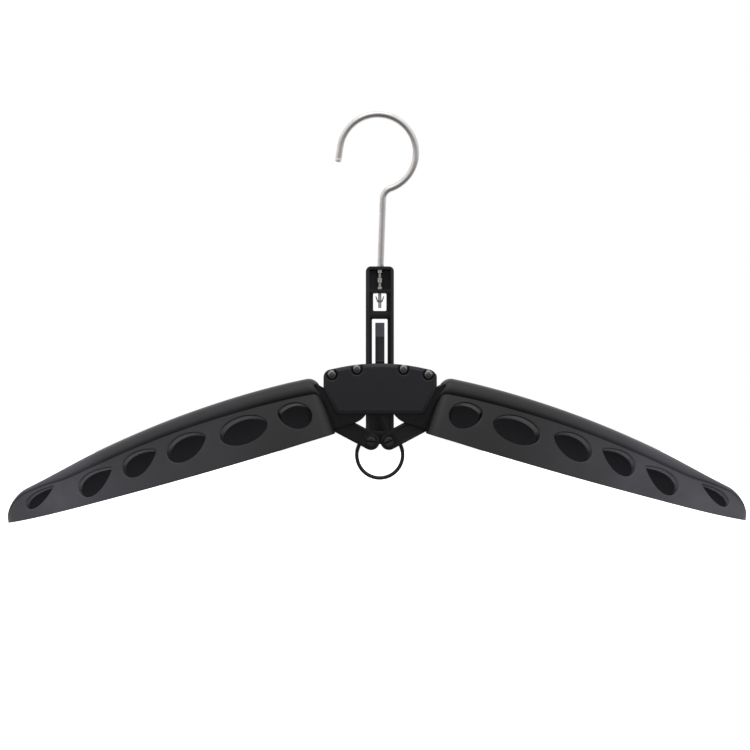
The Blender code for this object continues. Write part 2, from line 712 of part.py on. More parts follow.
def build_pivot_pin(name, side):
    """The plain pin that an arm's neck turns on, held in the two covers' sockets."""
    reach = COVER_IN + PIN_SOCKET - FACE_GAP
    place = (side * PIVOT_X, 0.0, PIVOT_Z)
    return rod(name, side * PIVOT_X, PIVOT_Z, PIVOT_PIN_R, -reach, reach, SCREW_STEEL, place)


def link_outline(side):
    """A straight bar from the screw to the pin, both ends round."""
    direction = math.atan2(LINK_PIN_Z - LINK_SCREW_Z, side * (LINK_PIN_X - LINK_SCREW_X))
    up = math.pi / 2
    outline = arc(side * LINK_SCREW_X, LINK_SCREW_Z, LINK_HALF_WIDTH, direction + up, direction + 3 * up, 12)
    outline += arc(side * LINK_PIN_X, LINK_PIN_Z, LINK_HALF_WIDTH, direction - up, direction + up, 12)
    return outline


def link_pocket_outline(side):
    """The shallow pocket between the link's two ends: a bar that stops short of both eyes."""
    run = np.array([side * (LINK_PIN_X - LINK_SCREW_X), LINK_PIN_Z - LINK_SCREW_Z]) / LINK_LENGTH
    across = np.array([-run[1], run[0]]) * (LINK_HALF_WIDTH - LINK_EDGE)
    start = np.array([side * LINK_SCREW_X, LINK_SCREW_Z]) + run * (LINK_HALF_WIDTH + LINK_EDGE)
    end = np.array([side * LINK_PIN_X, LINK_PIN_Z]) - run * (LINK_HALF_WIDTH + LINK_EDGE)
    return [tuple(p) for p in (start - across, end - across, end + across, start + across)]


def build_link_plate(name, side, layer):
    """A front (layer -1) or rear (layer 1) link plate, with a wide eye at the pin and a snug one at the screw."""
    inner, outer = layer * LINK_IN, layer * LINK_OUT
    near, far = sorted((inner, outer))
    place = (side * LINK_SCREW_X, 0.0, LINK_SCREW_Z)
    plate = prism(name, link_outline(side), near, far, LINK_PLASTIC, place)
    pocket = sorted((outer - layer * LINK_POCKET, outer + layer * OVERRUN))
    cut(plate, prism(f"{name}_pocket", link_pocket_outline(side), *pocket))
    ways = (near - OVERRUN, far + OVERRUN)
    cut(plate, rod(f"{name}_eye", side * LINK_SCREW_X, LINK_SCREW_Z, LINK_SCREW_R + BORE_GAP, *ways))
    cut(plate, rod(f"{name}_open_eye", side * LINK_PIN_X, LINK_PIN_Z, LINK_PIN_R + EYE_PLAY, *ways))
    return plate


def build_link_screw(name, side, slot_turn):
    """A slotted cheese head with a rounded crown, its shank through both plates and the stem."""
    seat = -LINK_OUT - FACE_GAP
    top = seat - LINK_HEAD_HEIGHT
    x, z = side * LINK_SCREW_X, LINK_SCREW_Z
    crown = [(LINK_HEAD_R - LINK_HEAD_CROWN * r, top + LINK_HEAD_CROWN * y) for r, y in LINK_HEAD_CROWN_SHARES]
    profile = crown + [
        (LINK_HEAD_R, seat),
        (LINK_SCREW_R, seat),
        (LINK_SCREW_R, LINK_OUT + FACE_GAP + NUT_HEIGHT + SCREW_TAIL),
    ]
    screw = turned(name, profile, x, z, BLACK_SCREW, (x, seat, z), SCREW_SIDES)
    reach = LINK_HEAD_R + OVERRUN
    along = np.array([math.cos(slot_turn), math.sin(slot_turn)])
    across = np.array([-along[1], along[0]]) * DRIVER_SLOT / 2
    centre = np.array([x, z])
    corners = [
        tuple(centre - along * reach - across),
        tuple(centre + along * reach - across),
        tuple(centre + along * reach + across),
        tuple(centre - along * reach + across),
    ]
    return cut(screw, prism(f"{name}_slot", corners, top - OVERRUN, top + DRIVER_DEPTH))


def build_link_nut(name, side):
    """A six-sided nut behind the rear plate."""
    front = LINK_OUT + FACE_GAP
    back = front + NUT_HEIGHT
    x, z = side * LINK_SCREW_X, LINK_SCREW_Z
    nut = rod(name, x, z, NUT_R, front, back, BLACK_SCREW, (x, front, z), 6)
    return cut(nut, rod(f"{name}_bore", x, z, LINK_SCREW_R + BORE_GAP, front - OVERRUN, back + OVERRUN))


def build_link_pin(name, side):
    """A pin with a flat head at each end, through both cheeks and both links' wide eyes."""
    inner = CHEEK_OUT + FACE_GAP
    outer = inner + LINK_PIN_HEAD
    profile = [
        (LINK_PIN_HEAD_R, -outer),
        (LINK_PIN_HEAD_R, -inner),
        (LINK_PIN_R, -inner),
        (LINK_PIN_R, inner),
        (LINK_PIN_HEAD_R, inner),
        (LINK_PIN_HEAD_R, outer),
    ]
    x, z = side * LINK_PIN_X, LINK_PIN_Z
    return turned(name, profile, x, z, SCREW_STEEL, (x, 0.0, z), SCREW_SIDES)


def arm_to_world(side, a, y, h):
    """World place of an arm point: `a` out along the lower edge, `h` square to it."""
    x = PIVOT_X + a * math.cos(ARM_DROOP) + h * math.sin(ARM_DROOP)
    z = PIVOT_Z - a * math.sin(ARM_DROOP) + h * math.cos(ARM_DROOP)
    return (side * x, y, z)


def world_to_arm(x, z):
    """The (a, h) of a right-hand world point."""
    x, z = x - PIVOT_X, z - PIVOT_Z
    a = x * math.cos(ARM_DROOP) - z * math.sin(ARM_DROOP)
    h = x * math.sin(ARM_DROOP) + z * math.cos(ARM_DROOP)
    return a, h


def arm_sizes(a):
    """The arm's five sizes at `a`, from a smooth curve through the shares.

    They are its height, its lower half depth, its crest half depth, its bead's height and the rise of its foot.
    """
    shares = np.array(ARM_STATION_SHARES)
    s = min(max((a - ARM_START) / ARM_LENGTH, 0.0), 1.0)
    slopes = np.gradient(shares[:, 1:], shares[:, 0], axis=0)
    i = min(int(np.searchsorted(shares[:, 0], s, side="right")) - 1, len(shares) - 2)
    width = shares[i + 1, 0] - shares[i, 0]
    t = (s - shares[i, 0]) / width
    smooth = (
        (2 * t**3 - 3 * t**2 + 1) * shares[i, 1:]
        + (t**3 - 2 * t**2 + t) * width * slopes[i]
        + (3 * t**2 - 2 * t**3) * shares[i + 1, 1:]
        + (t**3 - t**2) * width * slopes[i + 1]
    )
    return smooth * (ARM_HEIGHT, ARM_HALF_DEPTH, CREST_HALF_DEPTH, BEAD_HEIGHT, ARM_HEIGHT)


def arm_section(a, wall):
    """One A-shaped section as (y, h) points from the front foot over the crest to the back foot.

    `wall` is 0 on the outer skin and the wall's thickness on the inner one. The inner end draws in along a
    quarter round, and the nose along a quarter ellipse.
    """
    height, low, crest, bead, foot = arm_sizes(a)
    end_wall = ARM_END_WALL if wall else 0.0
    past_start = a - ARM_START - end_wall
    nose = NOSE_LENGTH - wall
    into_nose = max(0.0, a - (ARM_START + ARM_LENGTH - NOSE_LENGTH))
    lean = math.atan2(low - crest, height - bead)
    height -= wall
    low -= wall / math.cos(lean)
    crest -= wall / math.cos(lean)
    bulge = 0.0 if wall else BEAD_BULGE
    top_round = END_ROUND_TOP - wall
    depth_round = END_ROUND_DEPTH - wall
    if past_start < top_round:
        lost = top_round - math.sqrt(max(0.0, top_round**2 - (top_round - past_start) ** 2))
        crest += (low - crest) * lost / (height - bead)
        height -= lost
    if past_start < depth_round:
        lost = depth_round - math.sqrt(max(0.0, depth_round**2 - (depth_round - past_start) ** 2))
        low -= lost
        crest -= lost
    shrink = math.sqrt(max(0.0, 1.0 - (into_nose / nose) ** 2))
    height *= shrink
    low *= shrink
    crest *= shrink
    bead *= shrink
    crest = max(crest, SMALLEST_CORE * shrink)
    bead = min(bead, height * TALLEST_BEAD_SHARE)
    shoulder = height - bead
    points = []
    for share in WALL_POINT_SHARES:
        points.append((low + (crest - low) * share, shoulder * share))
    for angle in np.linspace(BEAD_FIRST_ANGLE, math.pi / 2, 4 if wall else 6):
        points.append(((crest + bulge * shrink) * math.cos(angle), shoulder + bead * math.sin(angle)))
    half = [(-y, ARM_LOW_EDGE + foot + h) for y, h in points]
    return half + [(-y, h) for y, h in reversed(half[:-1])]


def arm_stations(wall):
    """Places along the arm where sections are drawn: close together on the round end and the nose."""
    start = ARM_START + (ARM_END_WALL if wall else 0.0)
    nose_start = ARM_START + ARM_LENGTH - NOSE_LENGTH
    nose = NOSE_LENGTH - wall
    round_end = END_ROUND_TOP - wall
    ends = [start + round_end * (1 - math.cos(t)) for t in np.linspace(0, math.pi / 2, 5)]
    body = list(np.linspace(start + round_end, nose_start, 11))[1:]
    tips = [nose_start + nose * math.sin(t) for t in np.linspace(0, NOSE_LAST_ANGLE, 6)][1:]
    return ends + body + tips


def end_lean(a, h):
    """How far the inner end stands out towards the hub at (a, h): most at its foot, and none at its crest."""
    near = max(0.0, 1.0 - (a - ARM_START) / END_LEAN_REACH)
    return END_LEAN * near * (ARM_LOW_EDGE + ARM_HEIGHT - h) / ARM_HEIGHT


def arm_skin(name, side, surface):
    """The open-bottomed shell as one closed body: outer skin, inner skin, and the foot that joins them."""
    bm = bmesh.new()
    skins = []
    for wall in (0.0, ARM_WALL):
        rings = []
        for a in arm_stations(wall):
            points = [arm_to_world(side, a - end_lean(a, h), y, h) for y, h in arm_section(a, wall)]
            rings.append([bm.verts.new(p) for p in points])
        for near, far in zip(rings, rings[1:]):
            for i in range(len(near) - 1):
                bm.faces.new((near[i], near[i + 1], far[i + 1], far[i]))
        bm.faces.new(rings[0])
        bm.faces.new(rings[-1])
        skins.append(rings)
    outer, inner = skins
    for edge in (0, -1):
        for k in range(len(outer) - 1):
            bm.faces.new((outer[k][edge], outer[k + 1][edge], inner[k + 1][edge], inner[k][edge]))
    for end in (0, -1):
        bm.faces.new((outer[end][0], outer[end][-1], inner[end][-1], inner[end][0]))
    return as_object(name, bm, surface, (side * PIVOT_X, 0.0, PIVOT_Z))


def vent_outline(length, width, turn, point):
    """A teardrop: an ellipse whose far end narrows by the power `point`, turned by `turn`."""
    outline = []
    for k in range(VENT_POINTS):
        t = 2 * math.pi * k / VENT_POINTS
        along = -math.cos(t) * length / 2
        narrow = max((1 + math.cos(t)) / 2, 1 / VENT_POINTS**2) ** point
        across = math.sin(t) * width / 2 * narrow
        outline.append(
            (
                along * math.cos(turn) - across * math.sin(turn),
                along * math.sin(turn) + across * math.cos(turn),
            )
        )
    return outline


def vent_cutter(name, side, place, size, turn, point):
    """A prism square to the sloping front wall, in the shape of the vent as seen from the front."""
    out_share, up_share = place
    middle_a = ARM_START + ARM_LENGTH * out_share
    height, low, crest, bead, foot = arm_sizes(middle_a)
    rise = height - bead
    run = low - crest
    slope = math.hypot(run, rise)
    middle_h = ARM_LOW_EDGE + foot + rise * up_share
    wall_y = -(low - run * up_share)
    bm = bmesh.new()
    rings = []
    for reach in (-VENT_OUTSIDE, VENT_INSIDE):
        ring = []
        for da, dh in vent_outline(*size, math.radians(turn), point):
            y = wall_y + dh * run / rise + reach * rise / slope
            h = middle_h + dh - reach * run / slope
            ring.append(bm.verts.new(arm_to_world(side, middle_a + da, y, h)))
        rings.append(ring)
    for i in range(VENT_POINTS):
        j = (i + 1) % VENT_POINTS
        bm.faces.new((rings[0][i], rings[0][j], rings[1][j], rings[1][i]))
    bm.faces.new(rings[0])
    bm.faces.new(rings[1])
    return as_object(name, bm)


def arm_prism(name, side, outline, front, back):
    """Extrudes an (a, h) outline along Y."""
    flat = [(x, z) for x, _, z in (arm_to_world(side, a, 0.0, h) for a, h in outline)]
    return prism(name, flat, front, back)


def build_arm(name, side):
    """The shell with its slotted end wall, its two neck cheeks, the web above the link, and the six vents."""
    arm = arm_skin(name, side, ARM_PLASTIC)
    pin_a, pin_h = world_to_arm(LINK_PIN_X, LINK_PIN_Z)
    end = ARM_START + ARM_END_WALL
    clear = pin_h + LINK_HALF_WIDTH + EYE_PLAY + WEB_CLEARANCE
    outside = ARM_START - END_LEAN - OVERRUN
    gate = [
        (outside, ARM_LOW_EDGE - OVERRUN),
        (end + OVERRUN, ARM_LOW_EDGE - OVERRUN),
        (end + OVERRUN, clear + WELD_LAP),
        (outside, clear + WELD_LAP),
    ]
    reach = CHEEK_IN + WELD_LAP
    cut(arm, arm_prism(f"{name}_link_gate", side, gate, -reach, reach))
    up = math.pi / 2
    hub = arc(0.0, 0.0, HUB_R, up, 3 * up, 18)
    tip = pin_a + CHEEK_REACH
    inside_wall = end - WELD_LAP
    cheek = hub + [(tip, -HUB_R), (tip, CHEEK_INNER_TOP), (inside_wall, CHEEK_INNER_TOP)]
    cheek += [(inside_wall, GUSSET_TOP), (GUSSET_START, HUB_R)]
    for layer in (-1, 1):
        near, far = sorted((layer * CHEEK_IN, layer * CHEEK_OUT))
        weld(arm, arm_prism(f"{name}_cheek_{layer}", side, cheek, near, far))
    inside_wall -= WELD_LAP
    web = [(WEB_START, clear), (inside_wall, clear), (inside_wall, WEB_TOP), (WEB_START, WEB_TOP)]
    reach = CHEEK_IN + WELD_LAP * 2
    weld(arm, arm_prism(f"{name}_web", side, web, -reach, reach))
    for kind, x, z, radius in (
        ("pivot", PIVOT_X, PIVOT_Z, PIVOT_PIN_R),
        ("link", LINK_PIN_X, LINK_PIN_Z, LINK_PIN_R),
    ):
        reach = CHEEK_OUT + FACE_GAP / 2
        cut(arm, rod(f"{name}_{kind}_bore", side * x, z, radius + BORE_GAP, -reach, reach))
    vents = zip(VENT_PLACE_SHARES, VENT_SIZES, VENT_TURNS, VENT_POINT_SHARES)
    for number, vent in enumerate(vents, 1):
        cut(arm, vent_cutter(f"{name}_vent_{number}", side, *vent))
    return arm


def build_ring():
    """A round wire ring hung in the stem's block."""
    turns = 44
    path = []
    for k in range(turns):
        angle = 2 * math.pi * k / turns
        path.append((RING_BEND_R * math.cos(angle), RING_Z + RING_BEND_R * math.sin(angle), RING_WIRE_R))
    place = (0.0, 0.0, RING_Z + RING_BEND_R)
    return swept("pull_ring", path, 8, RING_STEEL, place, closed=True)


def build_all():
    build_hook()
    build_swivel_clip()
    build_stem()
    build_latch()
    build_cover("front_cover", -1)
    build_cover("back_cover", 1)
    number = 1
    for x_side in (-1, 1):
        for x, z in (OUTER_SCREW, INNER_SCREW):
            build_cover_screw(number, x_side * x, z)
            number += 1
    for word, side, slot_turn in (("left", -1, LEFT_SLOT_TURN), ("right", 1, RIGHT_SLOT_TURN)):
        build_arm(f"{word}_arm_shell", side)
        build_pivot_pin(f"{word}_pivot_pin", side)
        build_link_plate(f"{word}_link_front", side, -1)
        build_link_plate(f"{word}_link_rear", side, 1)
        build_link_screw(f"{word}_link_screw", side, slot_turn)
        build_link_nut(f"{word}_link_nut", side)
        build_link_pin(f"{word}_link_pin", side)
    build_ring()


build_all()
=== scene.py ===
# %% [markdown]
# # Dressing a folding hanger
# The hanger is a steel wire hook that swivels in a black moulded stem. A housing of two covers slides
# on the stem, two hollow vented arms turn in it, and a pair of links ties each arm to the stem's foot.
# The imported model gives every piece's place and motion. This lesson makes the surfaces that show.

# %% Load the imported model
import json
import math

import bmesh
import bpy
import numpy as np
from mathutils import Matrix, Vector
from mathutils.geometry import delaunay_2d_cdt, tessellate_polygon

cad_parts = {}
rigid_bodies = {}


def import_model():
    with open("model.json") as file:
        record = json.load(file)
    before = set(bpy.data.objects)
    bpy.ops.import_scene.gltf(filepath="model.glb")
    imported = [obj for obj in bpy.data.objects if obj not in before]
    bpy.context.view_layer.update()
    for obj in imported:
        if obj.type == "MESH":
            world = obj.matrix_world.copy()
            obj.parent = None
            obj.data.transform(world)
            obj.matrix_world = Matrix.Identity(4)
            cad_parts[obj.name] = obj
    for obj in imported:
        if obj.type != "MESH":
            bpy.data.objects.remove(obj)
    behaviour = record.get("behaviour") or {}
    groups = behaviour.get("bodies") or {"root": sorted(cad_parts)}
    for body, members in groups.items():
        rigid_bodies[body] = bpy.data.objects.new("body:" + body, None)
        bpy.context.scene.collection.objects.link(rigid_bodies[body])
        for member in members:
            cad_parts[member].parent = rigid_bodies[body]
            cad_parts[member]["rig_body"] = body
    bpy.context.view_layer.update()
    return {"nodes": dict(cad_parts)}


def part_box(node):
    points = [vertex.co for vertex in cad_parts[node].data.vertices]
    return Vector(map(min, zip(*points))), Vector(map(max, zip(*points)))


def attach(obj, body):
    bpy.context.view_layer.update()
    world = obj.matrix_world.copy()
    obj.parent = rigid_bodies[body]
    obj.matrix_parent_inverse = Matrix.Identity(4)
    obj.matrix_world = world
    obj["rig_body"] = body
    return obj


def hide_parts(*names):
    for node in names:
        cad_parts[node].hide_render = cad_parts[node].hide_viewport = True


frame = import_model()

# %% [markdown]
# ## One way to put a surface into a mesh
# A moulded piece is mostly ruled or swept surfaces with small rounds where they meet. Each surface here
# is a grid of points worked out as one array, so a Skin only has to collect grids and flat faces, weld
# their shared edges, turn the faces outwards and shade the result smooth. Each piece takes the place of
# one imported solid, so it rides on the body that the solid rides on. FINISHES gets its materials later.

# %% Weld a mesh, and put it on a body
WELD = 0.000001
FINISHES = {}


def welded(mesh, flatten=False):
    """Joins points that coincide and, to flatten, faces in one plane; then turns the faces outwards."""
    bm = bmesh.new()
    bm.from_mesh(mesh)
    bmesh.ops.remove_doubles(bm, verts=bm.verts, dist=WELD)
    if flatten:
        bmesh.ops.dissolve_limit(bm, angle_limit=math.radians(0.5), verts=bm.verts, edges=bm.edges)
    bmesh.ops.recalc_face_normals(bm, faces=bm.faces)
    open_edges = sum(not edge.is_manifold for edge in bm.edges)
    bm.to_mesh(mesh)
    bm.free()
    mesh.shade_smooth()
    print(f"{mesh.name}: {len(mesh.polygons)} faces, {open_edges} open edges")
    return mesh


def put_on(node, name, mesh, slot):
    """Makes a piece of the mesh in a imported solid's place: on its body, with the slot's finish."""
    mesh.materials.clear()
    mesh.materials.append(FINISHES[slot])
    piece = bpy.data.objects.new(name, mesh)
    bpy.context.scene.collection.objects.link(piece)
    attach(piece, frame["nodes"][node]["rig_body"])
    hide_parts(node)
    return piece


# %% A skin of grids and flat faces
class Skin:
    """Collects the grids and flat faces that make one piece."""

    def __init__(self):
        self.points = []
        self.faces = []
        self.count = 0

    def add(self, points, *face_sets):
        """Takes points in space, and sets of faces that count those points from 0."""
        self.points.append(points.reshape(-1, 3))
        for faces in face_sets:
            self.faces += (faces + self.count).tolist()
        self.count += points.size // 3

    def grid(self, points, wrap=False):
        """Each four neighbours of points[i, j] make a face; wrap joins the last column to the first."""
        rows, columns = points.shape[:2]
        index = np.arange(rows * columns).reshape(rows, columns)
        if wrap:
            index = np.concatenate([index, index[:, :1]], axis=1)
        quads = [index[:-1, :-1], index[:-1, 1:], index[1:, 1:], index[1:, :-1]]
        self.add(points, np.stack(quads, axis=-1).reshape(-1, 4))

    def polygon(self, points):
        """One flat face through the points in order."""
        self.add(points, np.arange(len(points))[None, :])

    def flat(self, loops, place, depth):
        """Fills the area inside the first loop and outside the others, at one depth."""
        rings = [[Vector((u, v, 0.0)) for u, v in loop] for loop in loops]
        self.add(place(np.concatenate(loops), depth), np.array(tessellate_polygon(rings)))

    def finish(self, node, name, slot, sharp=38):
        """Makes the piece; edges that turn by more than `sharp` degrees stay sharp."""
        mesh = bpy.data.meshes.new(name)
        mesh.from_pydata(np.concatenate(self.points).tolist(), [], self.faces)
        welded(mesh).set_sharp_from_angle(angle=math.radians(sharp))
        return put_on(node, name, mesh, slot)


# %% [markdown]
# ## Outlines, offsets and rounded rims
# Most pieces are plates: an outline with holes, given a thickness. A real moulding has no knife edges,
# so the rim is a quarter round, made by moving the outline inwards while it rises to the face.
# A narrow lead beside each round keeps the flat faces flat when they are shaded smooth.

# %% Outlines
LEAD = 0.00004


def arc(u, v, radius, start, end, steps):
    """Points of a circular arc, both ends included: the centre plus the radius times cosine and sine."""
    angles = np.linspace(start, end, steps + 1)
    return np.stack([u + radius * np.cos(angles), v + radius * np.sin(angles)], axis=1)


def circle(u, v, radius, steps):
    """A whole circle that doesn't repeat its first point."""
    return arc(u, v, radius, 0.0, 2 * math.pi * (1 - 1 / steps), steps - 1)


def front_middle(node):
    """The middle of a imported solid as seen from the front: (x, z)."""
    low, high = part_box(node)
    return np.array([(low.x + high.x) / 2, (low.z + high.z) / 2])


def closed_loop(*parts):
    """Joins outline parts into one anticlockwise loop without repeated points."""
    loop = np.concatenate([np.asarray(part, float).reshape(-1, 2) for part in parts])
    step = np.linalg.norm(loop - np.roll(loop, 1, axis=0), axis=1)
    loop = loop[step > WELD]
    area = np.sum(loop[:, 0] * np.roll(loop[:, 1], -1) - loop[:, 1] * np.roll(loop[:, 0], -1))
    return loop if area > 0 else loop[::-1]


def inward_of(loop):
    """The unit vector square to each side of an anticlockwise loop, pointing in: the side turned left."""
    ahead = np.roll(loop, -1, axis=0) - loop
    ahead /= np.linalg.norm(ahead, axis=1)[:, None]
    return np.stack([-ahead[:, 1], ahead[:, 0]], axis=1)


def offset_loop(loop, inset):
    """Moves a loop's sides inwards by `inset`: each corner goes to where its two moved sides cross, and
    along the mitre where they are nearly in line."""
    inward = inward_of(loop)
    before = np.roll(inward, 1, axis=0)
    total = inward + before
    mitre = total * (2 * inset / np.sum(total * total, axis=1))[:, None]
    cross = before[:, 0] * inward[:, 1] - before[:, 1] * inward[:, 0]
    turning = np.abs(cross) > 0.05
    safe = np.where(turning, cross, 1.0)
    across = (inset * inward[:, 1] - inset * before[:, 1]) / safe
    up = (inset * before[:, 0] - inset * inward[:, 0]) / safe
    corner = np.stack([across, up], axis=1)
    return loop + np.where(turning[:, None], corner, mitre)


# %% Rims and plates
def round_drop(past, radius):
    """What a quarter round takes away `past` its start: r - sqrt(r^2 - (r - past)^2), then nothing."""
    left = np.clip(radius - past, 0.0, radius)
    return radius - np.sqrt(radius**2 - left**2)


def rim(front, back, front_round, back_round, steps=6):
    """(inset, depth) steps round a plate's edge: over the front round, down the side, over the back."""
    turn = np.linspace(0.0, math.pi / 2, steps + 1)
    way = math.copysign(1.0, back - front)
    path = []
    for face, radius, inwards in ((front, front_round, way), (back, back_round, -way)):
        if radius:
            half = [(radius + LEAD, face)]
            for t in turn:
                half.append((radius * (1 - math.sin(t)), face + inwards * radius * (1 - math.cos(t))))
            half.append((0.0, face + inwards * (radius + LEAD)))
        else:
            half = [(0.0, face)]
        path += half if face == front else half[::-1]
    return path


def add_plate(skin, outline, holes, front, back, front_round, back_round, place):
    """A plate with holes right through it; every rim is rounded, and a hole's rim opens outwards."""
    for loop, sign in [(outline, 1)] + [(hole, -1) for hole in holes]:
        steps = rim(front, back, front_round, back_round)
        rows = [place(offset_loop(loop, sign * inset), depth) for inset, depth in steps]
        skin.grid(np.stack(rows), wrap=True)
    for depth, radius in ((front, front_round), (back, back_round)):
        inset = radius + LEAD if radius else 0.0
        loops = [offset_loop(outline, inset)] + [offset_loop(hole, -inset) for hole in holes]
        skin.flat(loops, place, depth)


# %% [markdown]
# ## Shader sums written as sums
# A finish is mostly arithmetic on a few noises. This small class wraps a socket, so that
# `grain * 0.4 + 0.3` adds the Math nodes by itself. Anything that isn't arithmetic goes through one
# method, `node`. The room's light at the end is written in the same way.


# %% A small shader language
class Value:
    """A socket in an expression; each operator adds one Math node."""

    def __init__(self, nodes, socket):
        self.nodes = nodes
        self.socket = socket

    def math(self, operation, first, second):
        return self.nodes.node("ShaderNodeMath", {"operation": operation}, {0: first, 1: second})

    def __add__(self, other):
        return self.math("ADD", self, other)

    __radd__ = __add__

    def __sub__(self, other):
        return self.math("SUBTRACT", self, other)

    def __rsub__(self, other):
        return self.math("SUBTRACT", other, self)

    def __mul__(self, other):
        return self.math("MULTIPLY", self, other)

    __rmul__ = __mul__

    def or_more(self, other):
        """The larger of the two."""
        return self.math("MAXIMUM", self, other)


# %% Node trees in that language
class Nodes:
    """A node tree under construction."""

    def __init__(self, tree):
        self.tree = tree

    def node(self, kind, settings, inputs, output=0):
        """Adds a node: its settings first, then its sockets' values or links."""
        made = self.tree.nodes.new(kind)
        for key, value in settings.items():
            setattr(made, key, value)
        for key, value in inputs.items():
            self.feed(made.inputs[key], value)
        return Value(self, made.outputs[output])

    def feed(self, socket, value):
        """Links a Value to the socket, or sets a constant on it."""
        if isinstance(value, Value):
            self.tree.links.new(value.socket, socket)
        else:
            socket.default_value = value

    def ramp(self, value, low, high, from_value=0.0, to_value=1.0):
        """Maps low..high smoothly to from_value..to_value, clamped."""
        inputs = {0: value, 1: low, 2: high, 3: from_value, 4: to_value}
        return self.node("ShaderNodeMapRange", {"interpolation_type": "SMOOTHSTEP"}, inputs)

    def axis(self, name, place):
        """One coordinate of a place or a direction."""
        return self.node("ShaderNodeSeparateXYZ", {}, {0: place}, name)


# %% A finish in that language
class Finish(Nodes):
    """A material under construction: a Principled shader, Object coordinates and helpers for patterns."""

    def __init__(self, name, constants):
        self.material = bpy.data.materials.new(name)
        self.material.use_nodes = True
        super().__init__(self.material.node_tree)
        self.shader = self.tree.nodes["Principled BSDF"]
        for socket, value in constants.items():
            self.shader.inputs[socket].default_value = value
        self.place = self.node("ShaderNodeTexCoord", {}, {}, "Object")

    def noise(self, scale, detail=2.0, roughness=0.5, place=None):
        """Fractal noise from 0 to 1, `scale` cells to the metre."""
        inputs = {"Vector": place or self.place, "Scale": scale, "Detail": detail, "Roughness": roughness}
        return self.node("ShaderNodeTexNoise", {}, inputs, "Fac")

    def stretched(self, scale):
        """Object coordinates scaled unevenly, for brushing and drawing marks."""
        return self.node("ShaderNodeMapping", {}, {"Vector": self.place, "Scale": scale})

    def mix(self, amount, first, second):
        """Mixes two colours."""
        return self.node("ShaderNodeMix", {"data_type": "RGBA"}, {0: amount, 6: first, 7: second}, 2)

    def from_middle(self):
        """|x|, how far a point lies from the hanger's middle."""
        return self.node("ShaderNodeMath", {"operation": "ABSOLUTE"}, {0: self.axis("X", self.place)})

    def bump(self, height, distance):
        """Raises the surface by `height` times `distance` metres."""
        inputs = {"Height": height, "Distance": distance}
        self.feed(self.shader.inputs["Normal"], self.node("ShaderNodeBump", {}, inputs, "Normal"))

    def set(self, **inputs):
        """Feeds the shader's sockets and gives the material."""
        for key, value in inputs.items():
            self.feed(self.shader.inputs[key.replace("_", " ")], value)
        return self.material


# %% [markdown]
# ## Black mouldings
# The arms, covers, stem and links are black plastic from spark-eroded moulds. Up close the skin is a fine
# pebble with tiny bright points, and in the large it has soft cloudy patches where hands and hangers
# rubbed it. Each moulding takes the same recipe with its own grain size, depth and darkness. Some pieces
# also get painted light and shade as a function of the place: that is how the arms are painted nearly
# black beside the housing and grow paler towards their tips.

# %% Moulded plastic
PIVOT_X, PIVOT_Z = 0.0188, -0.1741
ARM_DROOP, ARM_START = math.radians(15.9), 0.01465


def inky(level):
    """A grey with a touch of blue, as black plastic has under white light."""
    return (level, level, level * 1.2, 1.0)


def moulded_plastic(name, dark, light, rough, grain, depth, cloud, painted_light_and_shade=None, painted_shade_share=None):
    """Black moulding: cloudy patches mix two greys, pebble grain bumps the skin, specks dot it. An
    optional function paints light and shade into the colour, and an optional share runs from 1, moulded
    colour, to 0, painted shade, nearly black and smooth."""
    finish = Finish(name, {"IOR": 1.47, "Specular IOR Level": 0.42})
    clouds = finish.ramp(finish.noise(cloud, 4.0, 0.6), 0.35, 0.68)
    pebbles = finish.noise(grain, 3.0, 0.55)
    inputs = {"Vector": finish.place, "Scale": grain * 0.9}
    cells = finish.node("ShaderNodeTexVoronoi", {}, inputs, "Distance")
    specks = finish.ramp(finish.noise(grain * 0.45, 2.0, 0.7), 0.62, 0.74)
    scuffs = finish.ramp(finish.noise(70.0, 5.0, 0.7), 0.55, 0.75)
    amount = clouds * 0.55 + pebbles * 0.25 + specks * 0.35
    colour = finish.mix(finish.ramp(amount, 0.0, 1.0), inky(dark), inky(light))
    roughness = rough - 0.10 + clouds * 0.05 + pebbles * 0.07 + scuffs * 0.05
    if painted_light_and_shade:
        # painted light and shade go into the colour here
        colour = painted_light_and_shade(finish, colour)
    if painted_shade_share:
        skin = painted_shade_share(finish)
        # painted shade: where the share falls, the colour goes nearly black and the surface smoother
        colour = finish.mix(skin, inky(dark * 0.15), colour)
        roughness = roughness * (skin * 0.4 + 0.6)
    finish.bump(pebbles * 0.7 + cells * 0.3, depth)
    return finish.set(Base_Color=colour, Roughness=roughness)


def painted_arm_shade_and_hollow_light(finish, colour):
    """Painted shade, nearly black beside the housing and full colour at the tip, by |x|; and painted
    light, one dark grey inside the hollow.
    """
    # painted shade towards the housing, then painted light on the hollow's inner faces
    colour = finish.mix(finish.ramp(finish.from_middle(), 0.045, 0.200, 0.04, 1.0), inky(0.0), colour)
    inside = finish.node("ShaderNodeAttribute", {"attribute_name": "inside"}, {}, "Fac")
    return finish.mix(inside, colour, inky(0.045))


# %% Painted shade on the arms, the latch and the stem
def painted_arm_shade_share(finish):
    """Painted shade: 0, nearly black, on the neck, and on the shell 1 at the foot to 0.65, darker, at the
    crest.
    For droop d, along the arm is (|x| - px) cos d - (z - pz) sin d, and square to it (|x| - px) sin d + (z
    - pz) cos d."""
    out = finish.from_middle() - PIVOT_X
    up = finish.axis("Z", finish.place) - PIVOT_Z
    along = out * math.cos(ARM_DROOP) - up * math.sin(ARM_DROOP)
    height = out * math.sin(ARM_DROOP) + up * math.cos(ARM_DROOP)
    shell = finish.ramp(along, ARM_START - 0.0035, ARM_START - 0.0012)
    return shell * finish.ramp(height, -0.014, 0.014, 1.0, 0.65)


